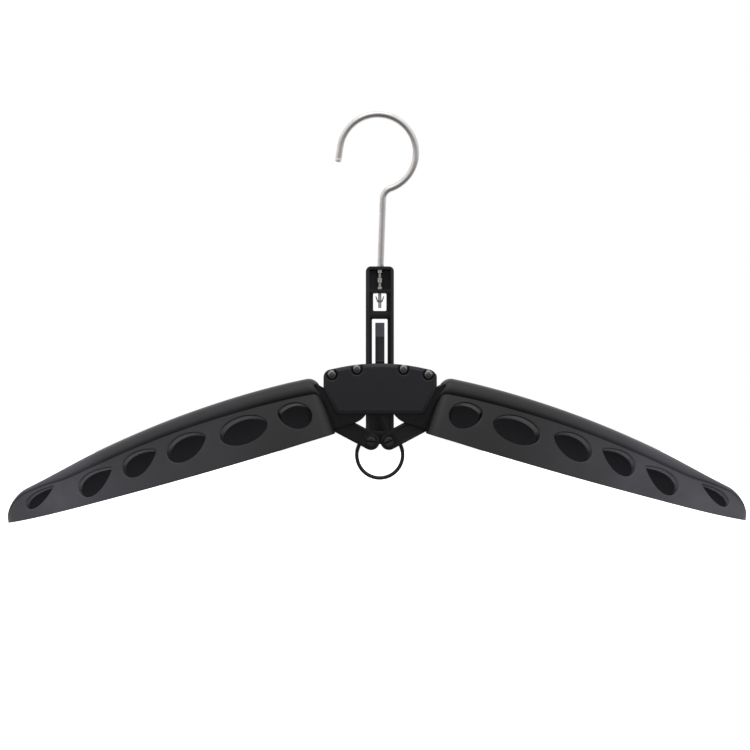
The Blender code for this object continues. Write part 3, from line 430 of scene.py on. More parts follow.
def painted_ramp_light(finish):
    """Painted light on the latch's ramp, which faces up to the light: 1 on the ramp, and 0.1, painted
    shade, below it.
    """
    return finish.ramp(finish.axis("Z", finish.place), -0.1336, -0.1330, 0.10, 1.0)


def painted_stem_shade(finish):
    """Painted shade on the stem's sunk middle: 1 on the stem's outer edges, and 0.3 between them."""
    return finish.ramp(finish.from_middle(), 0.0062, 0.0072, 0.3, 1.0)


# Slot, material, dark and light grey, roughness, grain and its depth, clouds, painted light and shade,
# painted shade share.
for slot, *recipe in (
    ("arm_plastic", "arm_moulding", 0.050, 0.120, 0.48, 1900.0, 0.00010, 9.0, painted_arm_shade_and_hollow_light, painted_arm_shade_share),
    ("cover_plastic", "cover_moulding", 0.024, 0.033, 0.42, 2600.0, 0.00005, 14.0),
    ("stem_plastic", "stem_moulding", 0.026, 0.044, 0.44, 2400.0, 0.00005, 20.0, None, painted_stem_shade),
    ("latch_plastic", "latch_moulding", 0.080, 0.110, 0.46, 2200.0, 0.00006, 30.0, None, painted_ramp_light),
    ("link_plastic", "link_moulding", 0.006, 0.012, 0.47, 2400.0, 0.00005, 25.0),
):
    FINISHES[slot] = moulded_plastic(*recipe)
print("plastics:", *FINISHES)

# %% [markdown]
# ## Steel, bright and blackened
# The hook is drawn stainless wire: fine lines run along it, and its cut end is ground a little brighter.
# The screws are polished, with turning rings. The ring and the link screws are blackened, so metal only
# glints through the coating where it is thin.


# %% Metals
def grey(level, warm=0.0):
    """A neutral colour, a touch warmer or cooler."""
    return (level * (1 + warm), level, level * (1 - warm * 0.6), 1.0)


def bright_steel(name, colour, rough, streak, depth, ground=None):
    """Steel with drawing or turning marks: thin noise, stretched along the piece, bumps and dulls it.
    `ground` is the share of the surface that a grinder has brightened."""
    finish = Finish(name, {"Metallic": 1.0})
    marks = finish.noise(1.0, 4.0, 0.6, finish.stretched(streak))
    stains = finish.ramp(finish.noise(160.0, 4.0, 0.65), 0.40, 0.75)
    shade = finish.mix(stains, grey(colour, 0.03), grey(colour * 0.82, 0.05))
    if ground:
        share = ground(finish)
        shade = finish.mix(share, shade, grey(0.95))
        rough = share * 0.30 + rough
    finish.bump(marks, depth)
    return finish.set(Base_Color=shade, Roughness=marks * 0.12 + stains * 0.05 + rough)


def ground_tip(finish):
    """1 on the wire's cut end and 0 elsewhere: a step in x times a step in z."""
    left = finish.ramp(finish.axis("X", finish.place), -0.0200, -0.0190, 1.0, 0.0)
    return left * finish.ramp(finish.axis("Z", finish.place), -0.0249, -0.0245, 1.0, 0.0)


def black_metal(name, dark, light, rough):
    """Blackened steel: the coating thins in specks, where the metal shows through."""
    finish = Finish(name, {"IOR": 1.5})
    worn = finish.ramp(finish.noise(900.0, 5.0, 0.7), 0.52, 0.80)
    skin = finish.noise(2400.0, 2.0, 0.5)
    shade = finish.mix(worn * 0.6, grey(dark), grey(light))
    finish.bump(skin, 0.00003)
    return finish.set(Base_Color=shade, Metallic=worn * 0.5 + 0.25, Roughness=skin * 0.12 + rough)


FINISHES.update(
    hook_steel=bright_steel("drawn_wire", 0.72, 0.27, (2200.0, 2200.0, 90.0), 0.000012, ground_tip),
    screw_steel=bright_steel("screw_steel", 0.21, 0.14, (1800.0, 300.0, 1800.0), 0.00001),
    clip_steel=bright_steel("clip_steel", 0.34, 0.22, (700.0, 3000.0, 3000.0), 0.00001),
    blackened_screw=black_metal("blackened_screw", 0.030, 0.20, 0.30),
    ring_steel=black_metal("blackened_wire", 0.022, 0.15, 0.34),
)
print("finishes:", len(FINISHES))

# %% [markdown]
# ## The wire hook
# One length of 4 mm wire runs from its cut tip over the rail, round the heel and straight down into the
# stem, where it is turned to a spindle with two necks. A sweep fits it: a circle carried along a path
# of two lines and two arcs, with the wire's radius as a second function of the way along.

# %% Hook path
WIRE_R, TIP_ROUND = 0.0020, 0.0009
BEND_R, BEND_X = 0.0232, -0.0011
TIP_ANGLE, TIP_RUN = math.radians(171.5), 0.0093
HEEL_ANGLE, HEEL_R = math.radians(-71), 0.0066
STEM_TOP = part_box("stem")[1].z
RECESS_TOP = STEM_TOP - 0.0019
RECESS_END = RECESS_TOP - 0.0123
TAIL_END = RECESS_END - 0.0110


def sweep(path, radius, sides):
    """Carries a circle along a path in the front view: across is the path's left, and depth is Y."""
    tangent = np.gradient(path, axis=0)
    tangent /= np.linalg.norm(tangent, axis=1)[:, None]
    turn = np.linspace(0.0, 2 * math.pi, sides, endpoint=False)
    across = radius[:, None] * np.cos(turn)
    x = path[:, :1] - tangent[:, 1:] * across
    z = path[:, 1:] + tangent[:, :1] * across
    return np.stack([x, radius[:, None] * np.sin(turn), z], axis=-1)


def hook_path():
    """A straight tip, one arc to the heel, a small arc the other way, then a leaning line to the stem."""
    bend = arc(BEND_X, WIRE_R - BEND_R, BEND_R, TIP_ANGLE, HEEL_ANGLE, 150)
    back = 1.0 - np.linspace(0.0, 1.0, 40)[:, None] ** 1.5
    tip = bend[0] + back * TIP_RUN * np.array([-math.sin(TIP_ANGLE), math.cos(TIP_ANGLE)])
    heading = HEEL_ANGLE + 1.5 * math.pi
    heel = bend[-1] + HEEL_R * np.array([math.cos(heading + math.pi / 2), math.sin(heading + math.pi / 2)])
    shank_end = np.array([0.0005, STEM_TOP + 0.0006])
    lean = math.atan2(heel[0] - HEEL_R - shank_end[0], heel[1] - shank_end[1])
    turn = arc(*heel, HEEL_R, heading - math.pi / 2, math.pi - lean, 28)
    share = np.linspace(0.0, 1.0, 30)[1:, None]
    shank = turn[-1] * (1 - share) + shank_end * share
    return np.concatenate([tip[:-1], bend, turn[1:], shank])


def spindle_profile():
    """(height, radius) down the turned spindle: collars, necks and a tail, with chamfered corners."""
    collar, neck, chamfer = 0.0019, 0.0010, 0.00018
    level, rows = RECESS_TOP, []
    for length, radius in ((0.0021, collar), (0.0028, neck), (0.0032, collar), (0.0023, neck)):
        rows.append((level, level - length, radius))
        level -= length
    rows += [(level, RECESS_END + 0.0003, collar), (RECESS_END + 0.0003, TAIL_END, neck)]
    profile = []
    for top, end, radius in rows:
        profile += [(top, radius - chamfer), (top - chamfer, radius)]
        profile += [(end + chamfer, radius), (end, radius - chamfer)]
    return profile


# %% Hook mesh
def closed_ends(rings):
    """Adds each end ring's middle as one more ring, so that the tube ends in a cap."""
    first, last = rings[:1], rings[-1:]
    middles = [np.broadcast_to(ring.mean(axis=1, keepdims=True), ring.shape) for ring in (first, last)]
    return np.concatenate([middles[0], rings, middles[1]])


wire = hook_path()
near_tip = np.clip(1 - np.linalg.norm(wire - wire[0], axis=1) / TIP_ROUND, 0.0, 1.0)
wire_radius = WIRE_R - 0.0005 * near_tip**2
levels = np.array([(STEM_TOP - 0.0003, WIRE_R), (RECESS_TOP + 0.0001, WIRE_R), *spindle_profile()])
path = np.concatenate([wire, np.stack([np.zeros(len(levels)), levels[:, 0]], axis=1)])
print(f"hook: {len(path)} places over {1000 * np.ptp(path[:, 1]):.1f} mm of height")
skin = Skin()
skin.grid(closed_ends(sweep(path, np.concatenate([wire_radius, levels[:, 1]]), 40)), wrap=True)
skin.finish("wire_hook", "hook", "hook_steel", 30)

# %% [markdown]
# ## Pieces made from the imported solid, with softened edges
# The stem, links, latch, nuts and pins are prisms with pockets and bores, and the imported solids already
# have those shapes to the hundredth of a millimetre. What they lack is the small round every moulded or
# machined edge has, the round that catches a line of light. So a copy of the solid is welded, its flat
# faces are joined again, and a Bevel modifier rounds the sharp edges.


# %% Soften a copy of a solid
def softened(node, name, slot, width):
    """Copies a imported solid's mesh and bevels the edges that turn by more than 34 degrees."""
    mesh = frame["nodes"][node].data.copy()
    mesh.name = name
    bevel = put_on(node, name, welded(mesh, flatten=True), slot).modifiers.new("rounded edges", "BEVEL")
    bevel.width, bevel.segments = width, 3
    bevel.limit_method, bevel.angle_limit = "ANGLE", math.radians(34)
    bevel.harden_normals = True


softened("stem", "stem_post", "stem_plastic", 0.00050)
softened("latch_tongue", "latch", "latch_plastic", 0.00022)
softened("swivel_clip", "clip", "clip_steel", 0.00010)
for side in ("left", "right"):
    for layer in ("front", "rear"):
        softened(f"{side}_link_{layer}", f"{side}_link_plate_{layer}", "link_plastic", 0.00042)
    softened(f"{side}_link_nut", f"{side}_nut", "blackened_screw", 0.00018)
    softened(f"{side}_link_pin", f"{side}_rivet", "screw_steel", 0.00015)
    softened(f"{side}_pivot_pin", f"{side}_axle", "screw_steel", 0.00030)

# %% [markdown]
# ## The pull ring
# A plain wire ring: one circle carried round another. Its two angles are the grid's two parameters.

# %% Ring mesh
RING_R, RING_WIRE_R = 0.01520, 0.00118


def torus(middle_z, big, small, around=160, across=28):
    """x = (R + r cos v) cos u, z = (R + r cos v) sin u, y = r sin v, in the front view."""
    u = np.linspace(0.0, 2 * math.pi, around, endpoint=False)[:, None]
    v = np.linspace(0.0, 2 * math.pi, across, endpoint=False)[None, :]
    out = big + small * np.cos(v)
    rows = np.stack([out * np.cos(u), small * np.sin(v) + 0 * u, middle_z + out * np.sin(u)], axis=-1)
    return np.concatenate([rows, rows[:1]])


skin = Skin()
skin.grid(torus(front_middle("pull_ring")[1], RING_R - RING_WIRE_R, RING_WIRE_R), wrap=True)
skin.finish("pull_ring", "ring", "ring_steel")

# %% [markdown]
# ## Arm shells: one section, many places
# An arm is a hollow shell like an upturned trough: two sloping walls with a rounded bead along the crest,
# open below, its inner end rounded over and its far end drawn in to a nose. Modelling it by hand would
# mean pushing points; instead one section is written as a function of the way along the arm, and both
# the outer and the inner skin come from it. In the arm's own frame `a` runs out along the lower edge,
# `h` stands square to it, and y is depth.

# %% Arm sizes along its length
ARM_LENGTH = 0.2039
ARM_END = ARM_START + ARM_LENGTH
ARM_HEIGHT, ARM_HALF_DEPTH, CREST_HALF_DEPTH, BEAD_HEIGHT = 0.0380, 0.0230, 0.0090, 0.0098
ARM_FOOT = -ARM_HEIGHT * 0.3763
ARM_WALL, END_WALL = 0.0025, 0.0022
TOP_ROUND, DEPTH_ROUND = 0.0062, 0.0060
END_LEAN, LEAN_REACH = 0.0019, 0.0090
NOSE_LENGTH, FOOT_ROUND = 0.0165, 0.0005
LEAST_CREST, MOST_BEAD = 0.0006, 0.45
# Share of the arm's length, then shares of its height, lower half depth, crest half depth and bead
# height, and last the rise of its lower edge as a share of its height.
ARM_SHARES = np.array(
    [
        (0.00, 0.933, 0.985, 1.00, 1.00, 0.000),
        (0.08, 0.969, 1.000, 1.00, 0.97, -0.007),
        (0.17, 0.995, 0.990, 0.98, 0.95, -0.019),
        (0.31, 0.992, 0.955, 0.930, 0.90, -0.0275),
        (0.45, 0.947, 0.895, 0.875, 0.85, -0.030),
        (0.58, 0.864, 0.810, 0.837, 0.80, -0.026),
        (0.72, 0.733, 0.690, 0.750, 0.74, -0.0165),
        (0.80, 0.634, 0.607, 0.651, 0.62, -0.0097),
        (0.86, 0.555, 0.540, 0.500, 0.38, -0.001),
        (1.00, 0.370, 0.380, 0.330, 0.20, 0.040),
    ]
)


def smooth_shares(a):
    """Cubic pieces between the table's rows, each with its neighbours' slope at its ends."""
    at, shares = ARM_SHARES[:, 0], ARM_SHARES[:, 1:]
    slopes = np.gradient(shares, at, axis=0)
    s = np.clip((a - ARM_START) / ARM_LENGTH, 0.0, 1.0)
    i = np.clip(np.searchsorted(at, s, side="right") - 1, 0, len(at) - 2)
    width = (at[i + 1] - at[i])[..., None]
    t = (s - at[i])[..., None] / width
    start = (2 * t**3 - 3 * t**2 + 1) * shares[i] + (t**3 - 2 * t**2 + t) * width * slopes[i]
    return start + (3 * t**2 - 2 * t**3) * shares[i + 1] + (t**3 - t**2) * width * slopes[i + 1]


# %% The skins' sizes at a place
def arm_frame(a, wall):
    """Shoulder height, lower and crest half depths, bead height, foot level and nose shrink at `a`.
    `wall` is 0 for the outer skin and the wall's thickness for the inner one."""
    a = np.asarray(a, float)
    sizes = (ARM_HEIGHT, ARM_HALF_DEPTH, CREST_HALF_DEPTH, BEAD_HEIGHT, ARM_HEIGHT)
    height, low, crest, bead, rise = np.moveaxis(smooth_shares(a) * sizes, -1, 0)
    lean = np.arctan2(low - crest, height - bead)
    past = a - ARM_START - (END_WALL if wall else 0.0)
    height, low, crest = height - wall, low - wall / np.cos(lean), crest - wall / np.cos(lean)
    lost = round_drop(past, TOP_ROUND - wall)
    crest = crest + (low - crest) * lost / (height - bead)
    height = height - lost
    lost = round_drop(past, DEPTH_ROUND - wall)
    low, crest = low - lost, crest - lost
    into = np.clip((a - (ARM_END - NOSE_LENGTH)) / (NOSE_LENGTH - wall), 0.0, 1.0)
    shrink = np.sqrt(1.0 - into**2)
    crest = np.maximum(crest, LEAST_CREST)
    bead = np.minimum(bead, height * MOST_BEAD)
    return (height - bead) * shrink, low * shrink, crest * shrink, bead * shrink, ARM_FOOT + rise, shrink


def wall_height(a, w, wall):
    """Height on the front wall at share `w` from its rounded foot to the crease under the bead."""
    shoulder, _, _, _, foot, shrink = arm_frame(a, wall)
    return foot + FOOT_ROUND * shrink + (shoulder - FOOT_ROUND * shrink) * w


def wall_depth(a, h, wall):
    """Depth of the sloping front wall at height h: a straight line from foot to crease, towards -Y."""
    shoulder, low, crest, _, foot, _ = arm_frame(a, wall)
    slope = (low - crest) / np.maximum(shoulder, 0.0001)
    return -(low - slope * (h - foot))


def wall_lean(a):
    """The angle by which the outer skin's front wall leans back from upright."""
    shoulder, low, crest, _, _, _ = arm_frame(a, 0.0)
    return np.arctan2(low - crest, shoulder)


def leaned(points):
    """Stands the inner end out towards the hub: most at its foot, none at its crest or further along."""
    near = np.clip(1.0 - (points[..., 0] - ARM_START) / LEAN_REACH, 0.0, 1.0)
    out = END_LEAN * near * (ARM_FOOT + ARM_HEIGHT - points[..., 2]) / ARM_HEIGHT
    return points - np.stack([out, 0 * out, 0 * out], axis=-1)


def arm_points(a, y, h):
    """Points in the arm's own frame, from numbers or arrays that stretch to one shape."""
    a, y, h = np.broadcast_arrays(a, y, h)
    return np.stack([a, y, h], axis=-1)


# %% [markdown]
# ## The bead, the back wall and the foot
# Everything but the vented front wall is one grid over the way along the arm. The bead's face leans as
# the wall below it does and rolls over at the top, so its profile is a cubic curve: the first handle
# follows the lean and the last one is level. Under it the face turns in to a soft crease, the dark line
# in the photograph. The foot is turned over a half-millimetre round, which shows as a thin light line.

# %% Section across the arm
WALL_STEPS = 24
BEAD_BULGE, STEP_RISE, FULL_BEAD = 0.00035, 0.0020, 0.0090
BEAD_LEAN, LEAN_HANDLE, TOP_HANDLE = math.radians(14), 0.60, 0.52


def bead_profile(half, bead, step):
    """(y, h) above the crease: a step out on a quadratic curve, then a cubic one over the top,
    (1-q)^3 P0 + 3q(1-q)^2 P1 + 3q^2(1-q) P2 + q^3 P3."""
    t = np.linspace(0.0, 1.0, 6)[1:]
    q = np.linspace(0.0, 1.0, 15)[1:]
    rise = STEP_RISE * step
    out = half + BEAD_BULGE * step
    step_y = (1 - t) ** 2 * half + (1 - (1 - t) ** 2) * out
    step_h = t**2 * rise
    handle = LEAN_HANDLE * (bead - rise)
    lean_y, lean_h = out - handle * math.tan(BEAD_LEAN), rise + handle
    curve_y = (1 - q) ** 3 * out + 3 * q * (1 - q) ** 2 * lean_y + 3 * q**2 * (1 - q) * TOP_HANDLE * out
    curve_h = (1 - q) ** 3 * rise + 3 * q * (1 - q) ** 2 * lean_h + (3 * q**2 * (1 - q) + q**3) * bead
    return np.concatenate([step_y, curve_y], axis=-1), np.concatenate([step_h, curve_h], axis=-1)


def crest_section(a, wall):
    """From the front crease over the bead and down the back wall to its foot."""
    shoulder, low, crest, bead, foot, shrink = (v[..., None] for v in arm_frame(a, wall))
    step = np.zeros_like(bead) if wall else shrink * np.clip(bead / FULL_BEAD, 0.2, 1.0)
    y, h = bead_profile(crest, bead, step)
    y = np.concatenate([-y, y[..., -2::-1]], axis=-1)
    h = foot + shoulder + np.concatenate([h, h[..., -2::-1]], axis=-1)
    w = np.linspace(1.0, 0.0, WALL_STEPS + 1)
    back_h = wall_height(a[..., None], w, wall)
    back_y = -wall_depth(a[..., None], back_h, wall)
    y = np.concatenate([-back_y[..., :1], y, back_y], axis=-1)
    h = np.concatenate([back_h[..., :1], h, back_h], axis=-1)
    return arm_points(a[..., None], y, h)


def front_section(a, wall):
    """The plain front wall, foot to crease."""
    w = np.linspace(0.0, 1.0, WALL_STEPS + 1)
    h = wall_height(a[..., None], w, wall)
    return arm_points(a[..., None], wall_depth(a[..., None], h, wall), h)


def whole_section(a, wall):
    """The section at one place, from the front foot over the crest to the back foot."""
    at = np.array([a])
    return np.concatenate([front_section(at, wall)[0], crest_section(at, wall)[0][1:]])


# %% Stations along the arm
FIRST_CELL, LAST_CELL = 0.0210, 0.2070
CELL_ENDS = np.array([FIRST_CELL, 0.0474, 0.0853, 0.1168, 0.1453, 0.1783, LAST_CELL])
CELL_STEPS = 40


def end_stations(wall):
    """Places on the rounded inner end, close together where it turns fastest: start + r (1 - cos t)."""
    start = ARM_START + (END_WALL if wall else 0.0)
    turn = math.acos(1 - (FIRST_CELL - start) / (TOP_ROUND - wall))
    return start + (TOP_ROUND - wall) * (1 - np.cos(np.linspace(0.0, turn, 12)))


def nose_stations(wall):
    """Places on the nose: its start plus its length times sin t, to the very tip."""
    start, length = ARM_END - NOSE_LENGTH, NOSE_LENGTH - wall
    first = math.asin((LAST_CELL - start) / length)
    return start + length * np.sin(np.linspace(first, math.pi / 2, 18))


cell_places = [np.linspace(a, b, CELL_STEPS + 1) for a, b in zip(CELL_ENDS, CELL_ENDS[1:])]
middle_places = np.concatenate([places[:-1] for places in cell_places])
print("vent cells, mm long:", np.round(1000 * np.diff(CELL_ENDS), 1).tolist())


def foot_rows(outer, inner, sign):
    """Turns the foot from the outer to the inner skin: two quadratic curves round the two corners."""
    t = np.linspace(0.0, 1.0, 6)[:, None, None]
    rows = []
    for (a, wall), way in ((outer, 1), (inner, -1)):
        _, low, _, _, foot, shrink = arm_frame(a, wall)
        top = foot + FOOT_ROUND * shrink
        start = arm_points(a, sign * -wall_depth(a, top, wall), top)
        corner = arm_points(a, sign * low, foot)
        flat = arm_points(a, sign * (low - way * FOOT_ROUND * shrink), foot)
        curve = (1 - t) ** 2 * start + 2 * t * (1 - t) * corner + t**2 * flat
        rows.append(curve[::way])
    return np.concatenate(rows)


# %% [markdown]
# ## Vents as polar cells
# The front wall has six teardrop vents. A Boolean would leave long thin triangles and a hard rim, so each
# vent gets a cell of the wall instead: rays from the vent's middle run from its edge to the cell's
# rectangle. The same rays carry the rim's quarter round, the collar that stiffens the hole behind the
# wall, and the inner skin. The wall leans back, so the collar's upper side is what shows in the hole.

# %% Vent outlines
RIM_ROUND, LIP_ROUND = 0.0008, 0.0004
COLLAR_WALL, COLLAR_DRAFT = 0.0012, 0.0010
# Shares of the arm's length and the wall's height, length, width, turn in degrees, point, collar depth.
VENTS = (
    (0.0917, 0.628, 0.0205, 0.0163, 24, 0.16, 0.0052),
    (0.2478, 0.615, 0.0292, 0.0165, 178, 0.06, 0.0062),
    (0.4224, 0.640, 0.0253, 0.0165, 166, 0.20, 0.0056),
    (0.5665, 0.662, 0.0234, 0.0162, 160, 0.40, 0.0050),
    (0.7063, 0.606, 0.0243, 0.0160, 157, 0.50, 0.0044),
    (0.8814, 0.690, 0.0203, 0.0096, 158, 0.55, 0.0034),
)


def teardrop(length, width, turn, point, steps=720):
    """An ellipse drawn to a point at one end: (-cos t L/2, sin t W/2 ((1 + cos t)/2)^point), turned."""
    t = np.linspace(0.0, 2 * math.pi, steps, endpoint=False)
    along = -np.cos(t) * length / 2
    across = np.sin(t) * width / 2 * ((1 + np.cos(t)) / 2) ** point
    cos, sin = math.cos(turn), math.sin(turn)
    return np.stack([along * cos - across * sin, along * sin + across * cos], axis=1)


def along_rays(loop, rays):
    """How far rays from a loop's middle run before they meet it."""
    angle = np.arctan2(loop[:, 1], loop[:, 0])
    return np.interp(rays, angle, np.hypot(loop[:, 0], loop[:, 1]), period=2 * math.pi)


# %% The cell round a vent
def cell_border(places):
    """The cell's rectangle as (a, w): along the foot, up, back under the bead, and down."""
    w = np.linspace(0.0, 1.0, WALL_STEPS + 1)
    far, near = np.full(WALL_STEPS, places[-1]), np.full(WALL_STEPS, places[0])
    a = np.concatenate([places[:-1], far, places[:0:-1], near])
    w = np.concatenate([np.zeros(CELL_STEPS), w[:-1], np.ones(CELL_STEPS), w[:0:-1]])
    return a, w


def vent_cell(places, vent):
    """Rows of rays: from the rectangle to the vent, over its rim, down a drafted collar, round its lip
    and back to the inner skin."""
    out_share, up_share, length, width, turn, point, collar = vent
    middle_a = ARM_START + ARM_LENGTH * out_share
    shoulder, _, _, _, foot, _ = arm_frame(middle_a, 0.0)
    middle = np.array([middle_a, foot + shoulder * up_share])
    border_a, border_w = cell_border(places)
    border = np.stack([border_a, wall_height(border_a, border_w, 0.0)], axis=1)
    rays = np.arctan2(border[:, 1] - middle[1], border[:, 0] - middle[0])
    reach = along_rays(teardrop(length, width, math.radians(turn), point), rays)
    edge = middle + reach[:, None] * np.stack([np.cos(rays), np.sin(rays)], axis=1)
    ahead = np.roll(edge, -1, axis=0) - np.roll(edge, 1, axis=0)
    outward = np.stack([ahead[:, 1], -ahead[:, 0]], axis=1) / np.linalg.norm(ahead, axis=1)[:, None]
    room = np.linalg.norm(border - edge, axis=1)[:, None]

    def sunk_row(out, sunk):
        """The edge moved `out` from the hole and `sunk` square to the wall, with the draft."""
        a, h = (edge + outward * out).T
        lean = wall_lean(a)
        y = wall_depth(a, h, 0.0) + sunk * np.cos(lean)
        return arm_points(a - COLLAR_DRAFT * sunk / collar, y, h - sunk * np.sin(lean))

    rows = []
    start = edge + outward * RIM_ROUND
    for share in np.linspace(1.0, 0.0, 12) ** 1.5:
        a, h = (start + (border - start) * share).T
        rows.append(arm_points(a, wall_depth(a, h, 0.0), h))
    for t in np.linspace(0.0, math.pi / 2, 7)[1:]:
        rows.append(sunk_row(RIM_ROUND * (1 - math.sin(t)), RIM_ROUND * (1 - math.cos(t))))
    for t in np.linspace(0.0, math.pi / 2, 5):
        rows.append(sunk_row(LIP_ROUND * (1 - math.cos(t)), collar - LIP_ROUND * (1 - math.sin(t))))
    thick = np.minimum(COLLAR_WALL, room * 0.3)
    rows.append(sunk_row(thick, collar))
    root = sunk_row(thick, ARM_WALL)
    inside = np.stack([root[:, 0], root[:, 2]], axis=1)
    border = np.stack([border_a, wall_height(border_a, border_w, ARM_WALL)], axis=1)
    for share in np.linspace(0.0, 1.0, 8):
        a, h = (inside + (border - inside) * share).T
        rows.append(arm_points(a, wall_depth(a, h, ARM_WALL), h))
    return np.stack(rows)


# %% [markdown]
# ## The neck and the end wall
# Inside its rounded end the shell is shut by a wall with a gate for the links, and two flat cheeks run
# from there to the pivot. They are plates, so they come from the plate helper. The hub's face is sunk
# a little below the neck's, which is the faint step that shows under the cover.

# %% Neck sizes, and the shell
LINK_PIN = (0.018416, -0.005999)
EYE_R, EYE_PLAY, EYE_GAP = 0.0052, 0.0023, 0.0004
HUB_R, HUB_SINK, PAST_PIN = 0.0120, 0.0005, 0.0066
PIVOT_BORE_R, PIN_BORE_R = 0.0022, 0.0017
CHEEK_IN, CHEEK_OUT, CHEEK_TOP = 0.0061, 0.0081, 0.0050
GATE_HALF, GUSSET_START, GUSSET_TOP = 0.0066, 0.0110, 0.0176
WEB_START, WEB_TOP, OVERLAP = 0.0055, 0.0115, 0.0005
STEP_FOOT, STEP_TOP, STEP_LIFT = 0.0078, (0.0100, 0.0085), 0.0001
CHEEK_ROUND, BACK_ROUND = 0.0003, 0.0002


def arm_to_world(points, side):
    """x = side (pivot + a cos d + h sin d), z = pivot - a sin d + h cos d, for droop d."""
    a, y, h = points[..., 0], points[..., 1], points[..., 2]
    x = side * (PIVOT_X + a * math.cos(ARM_DROOP) + h * math.sin(ARM_DROOP))
    return np.stack([x, y, PIVOT_Z - a * math.sin(ARM_DROOP) + h * math.cos(ARM_DROOP)], axis=-1)


def add_shell(skin, side):
    """Both skins, the foot and the closing rim at the inner end."""
    skins = []
    for wall in (0.0, ARM_WALL):
        end, nose = end_stations(wall), nose_stations(wall)
        stations = np.concatenate([end[:-1], middle_places, nose])
        skin.grid(arm_to_world(leaned(crest_section(stations, wall)), side))
        for part in (end, nose):
            skin.grid(arm_to_world(leaned(front_section(part, wall)), side))
        skins.append((stations, wall))
    for places, vent in zip(cell_places, VENTS):
        skin.grid(arm_to_world(leaned(vent_cell(places, vent)), side), wrap=True)
    outer, inner = skins
    for sign in (-1, 1):
        rows = arm_to_world(leaned(foot_rows(outer, inner, sign)), side)
        skin.grid(rows)
        skin.polygon(rows[:, 0])
    rims = [whole_section(stations[0], wall) for stations, wall in skins]
    skin.grid(arm_to_world(leaned(np.stack(rims)), side))


# %% Neck
def add_neck(skin, side):
    """The end wall with its gate, the cheeks with their sunk hubs, and the web over the link."""
    pin_a = LINK_PIN[0] * math.cos(ARM_DROOP) - LINK_PIN[1] * math.sin(ARM_DROOP)
    pin_h = LINK_PIN[0] * math.sin(ARM_DROOP) + LINK_PIN[1] * math.cos(ARM_DROOP)
    clear = pin_h + EYE_R + EYE_PLAY + EYE_GAP

    def on_end(points, depth):
        """(y, h) points on the end wall, at a place along the arm."""
        points = arm_points(np.full(len(points), depth), points[:, 0], points[:, 1])
        return arm_to_world(leaned(points), side)

    def on_side(points, depth):
        """(a, h) points on a cheek, at a depth."""
        return arm_to_world(arm_points(points[:, 0], np.full(len(points), depth), points[:, 1]), side)

    section = whole_section(ARM_START, 0.0)[:, 1:]
    low, top = section[0, 1], clear + FOOT_ROUND
    gate = [(GATE_HALF, low), (GATE_HALF, top), (-GATE_HALF, top), (-GATE_HALF, low)]
    end_wall = closed_loop(section, gate)
    add_plate(skin, end_wall, [], ARM_START, ARM_START + END_WALL, BACK_ROUND, 0.0, on_end)
    wall_a, tip = ARM_START + END_WALL - OVERLAP, pin_a + PAST_PIN
    hub = arc(0.0, 0.0, HUB_R, math.pi / 2, 1.5 * math.pi, 60)
    fork = [(tip, -HUB_R), (tip, CHEEK_TOP), (wall_a, CHEEK_TOP)]
    fork += [(wall_a, GUSSET_TOP), (GUSSET_START, HUB_R)]
    cheek = closed_loop(hub, fork)
    step = closed_loop([(STEP_FOOT, -HUB_R)], fork, [STEP_TOP])
    bores = [circle(0.0, 0.0, PIVOT_BORE_R, 40), circle(pin_a, pin_h, PIN_BORE_R, 32)]
    for layer in (-1, 1):
        face, inner = layer * CHEEK_OUT, layer * CHEEK_IN
        add_plate(skin, cheek, bores, face - layer * HUB_SINK, inner, CHEEK_ROUND, BACK_ROUND, on_side)
        lifted = inner + layer * STEP_LIFT
        add_plate(skin, step, bores[1:], face, lifted, CHEEK_ROUND, BACK_ROUND, on_side)
    web = closed_loop([(WEB_START, clear), (wall_a, clear), (wall_a, WEB_TOP), (WEB_START, WEB_TOP)])
    add_plate(skin, web, [], -CHEEK_IN - OVERLAP, CHEEK_IN + OVERLAP, 0.0, 0.0, on_side)


# %% Build both arms
def mark_inside(mesh):
    """Writes 1 on faces that look towards the arm's middle plane: normal and place differ in sign."""
    normals, centres = np.empty((2, len(mesh.polygons) * 3))
    mesh.polygons.foreach_get("normal", normals)
    mesh.polygons.foreach_get("center", centres)
    inside = (normals[1::3] * np.sign(centres[1::3]) < -0.3).astype(np.float32)
    # the arm finish paints light on these faces, the hollow's inside
    mesh.attributes.new("inside", "FLOAT", "FACE").data.foreach_set("value", inside)


for name, side in (("left_arm", -1), ("right_arm", 1)):
    skin = Skin()
    add_shell(skin, side)
    add_neck(skin, side)
    mark_inside(skin.finish(f"{name}_shell", f"{name}_moulding", "arm_plastic", 40).data)

# %% [markdown]
# ## Screw heads as height fields
# The housing's pan heads have a cross recess and the link screws a straight slot. On a polar grid a head
# is one function of the radius, the dome, less one function of the place, the recess. The grid then runs
# on down the side, under the head and along the shank, so each screw is one closed surface.


# %% Screws
def soft_step(value, edge, blur):
    """1 below `edge`, 0 above it, with a smooth slope `blur` wide between."""
    t = np.clip((edge - value) / blur + 0.5, 0.0, 1.0)
    return t * t * (3 - 2 * t)


def cross_recess(u, v, depth):
    """Two crossed bars, deepest in the middle: the depth times the larger of the two bars' masks."""
    bars = [
        soft_step(np.abs(p), 0.00150, 0.00025) * soft_step(np.abs(q), 0.00030, 0.00012)
        for p, q in ((u, v), (v, u))
    ]
    middle = soft_step(np.hypot(u, v), 0.00062, 0.00030)
    return depth * np.maximum(np.maximum(*bars), middle)


def slot_recess(u, v, depth, turn):
    """A straight slot right across the head."""
    return depth * soft_step(np.abs(v * math.cos(turn) - u * math.sin(turn)), 0.00032, 0.00050)


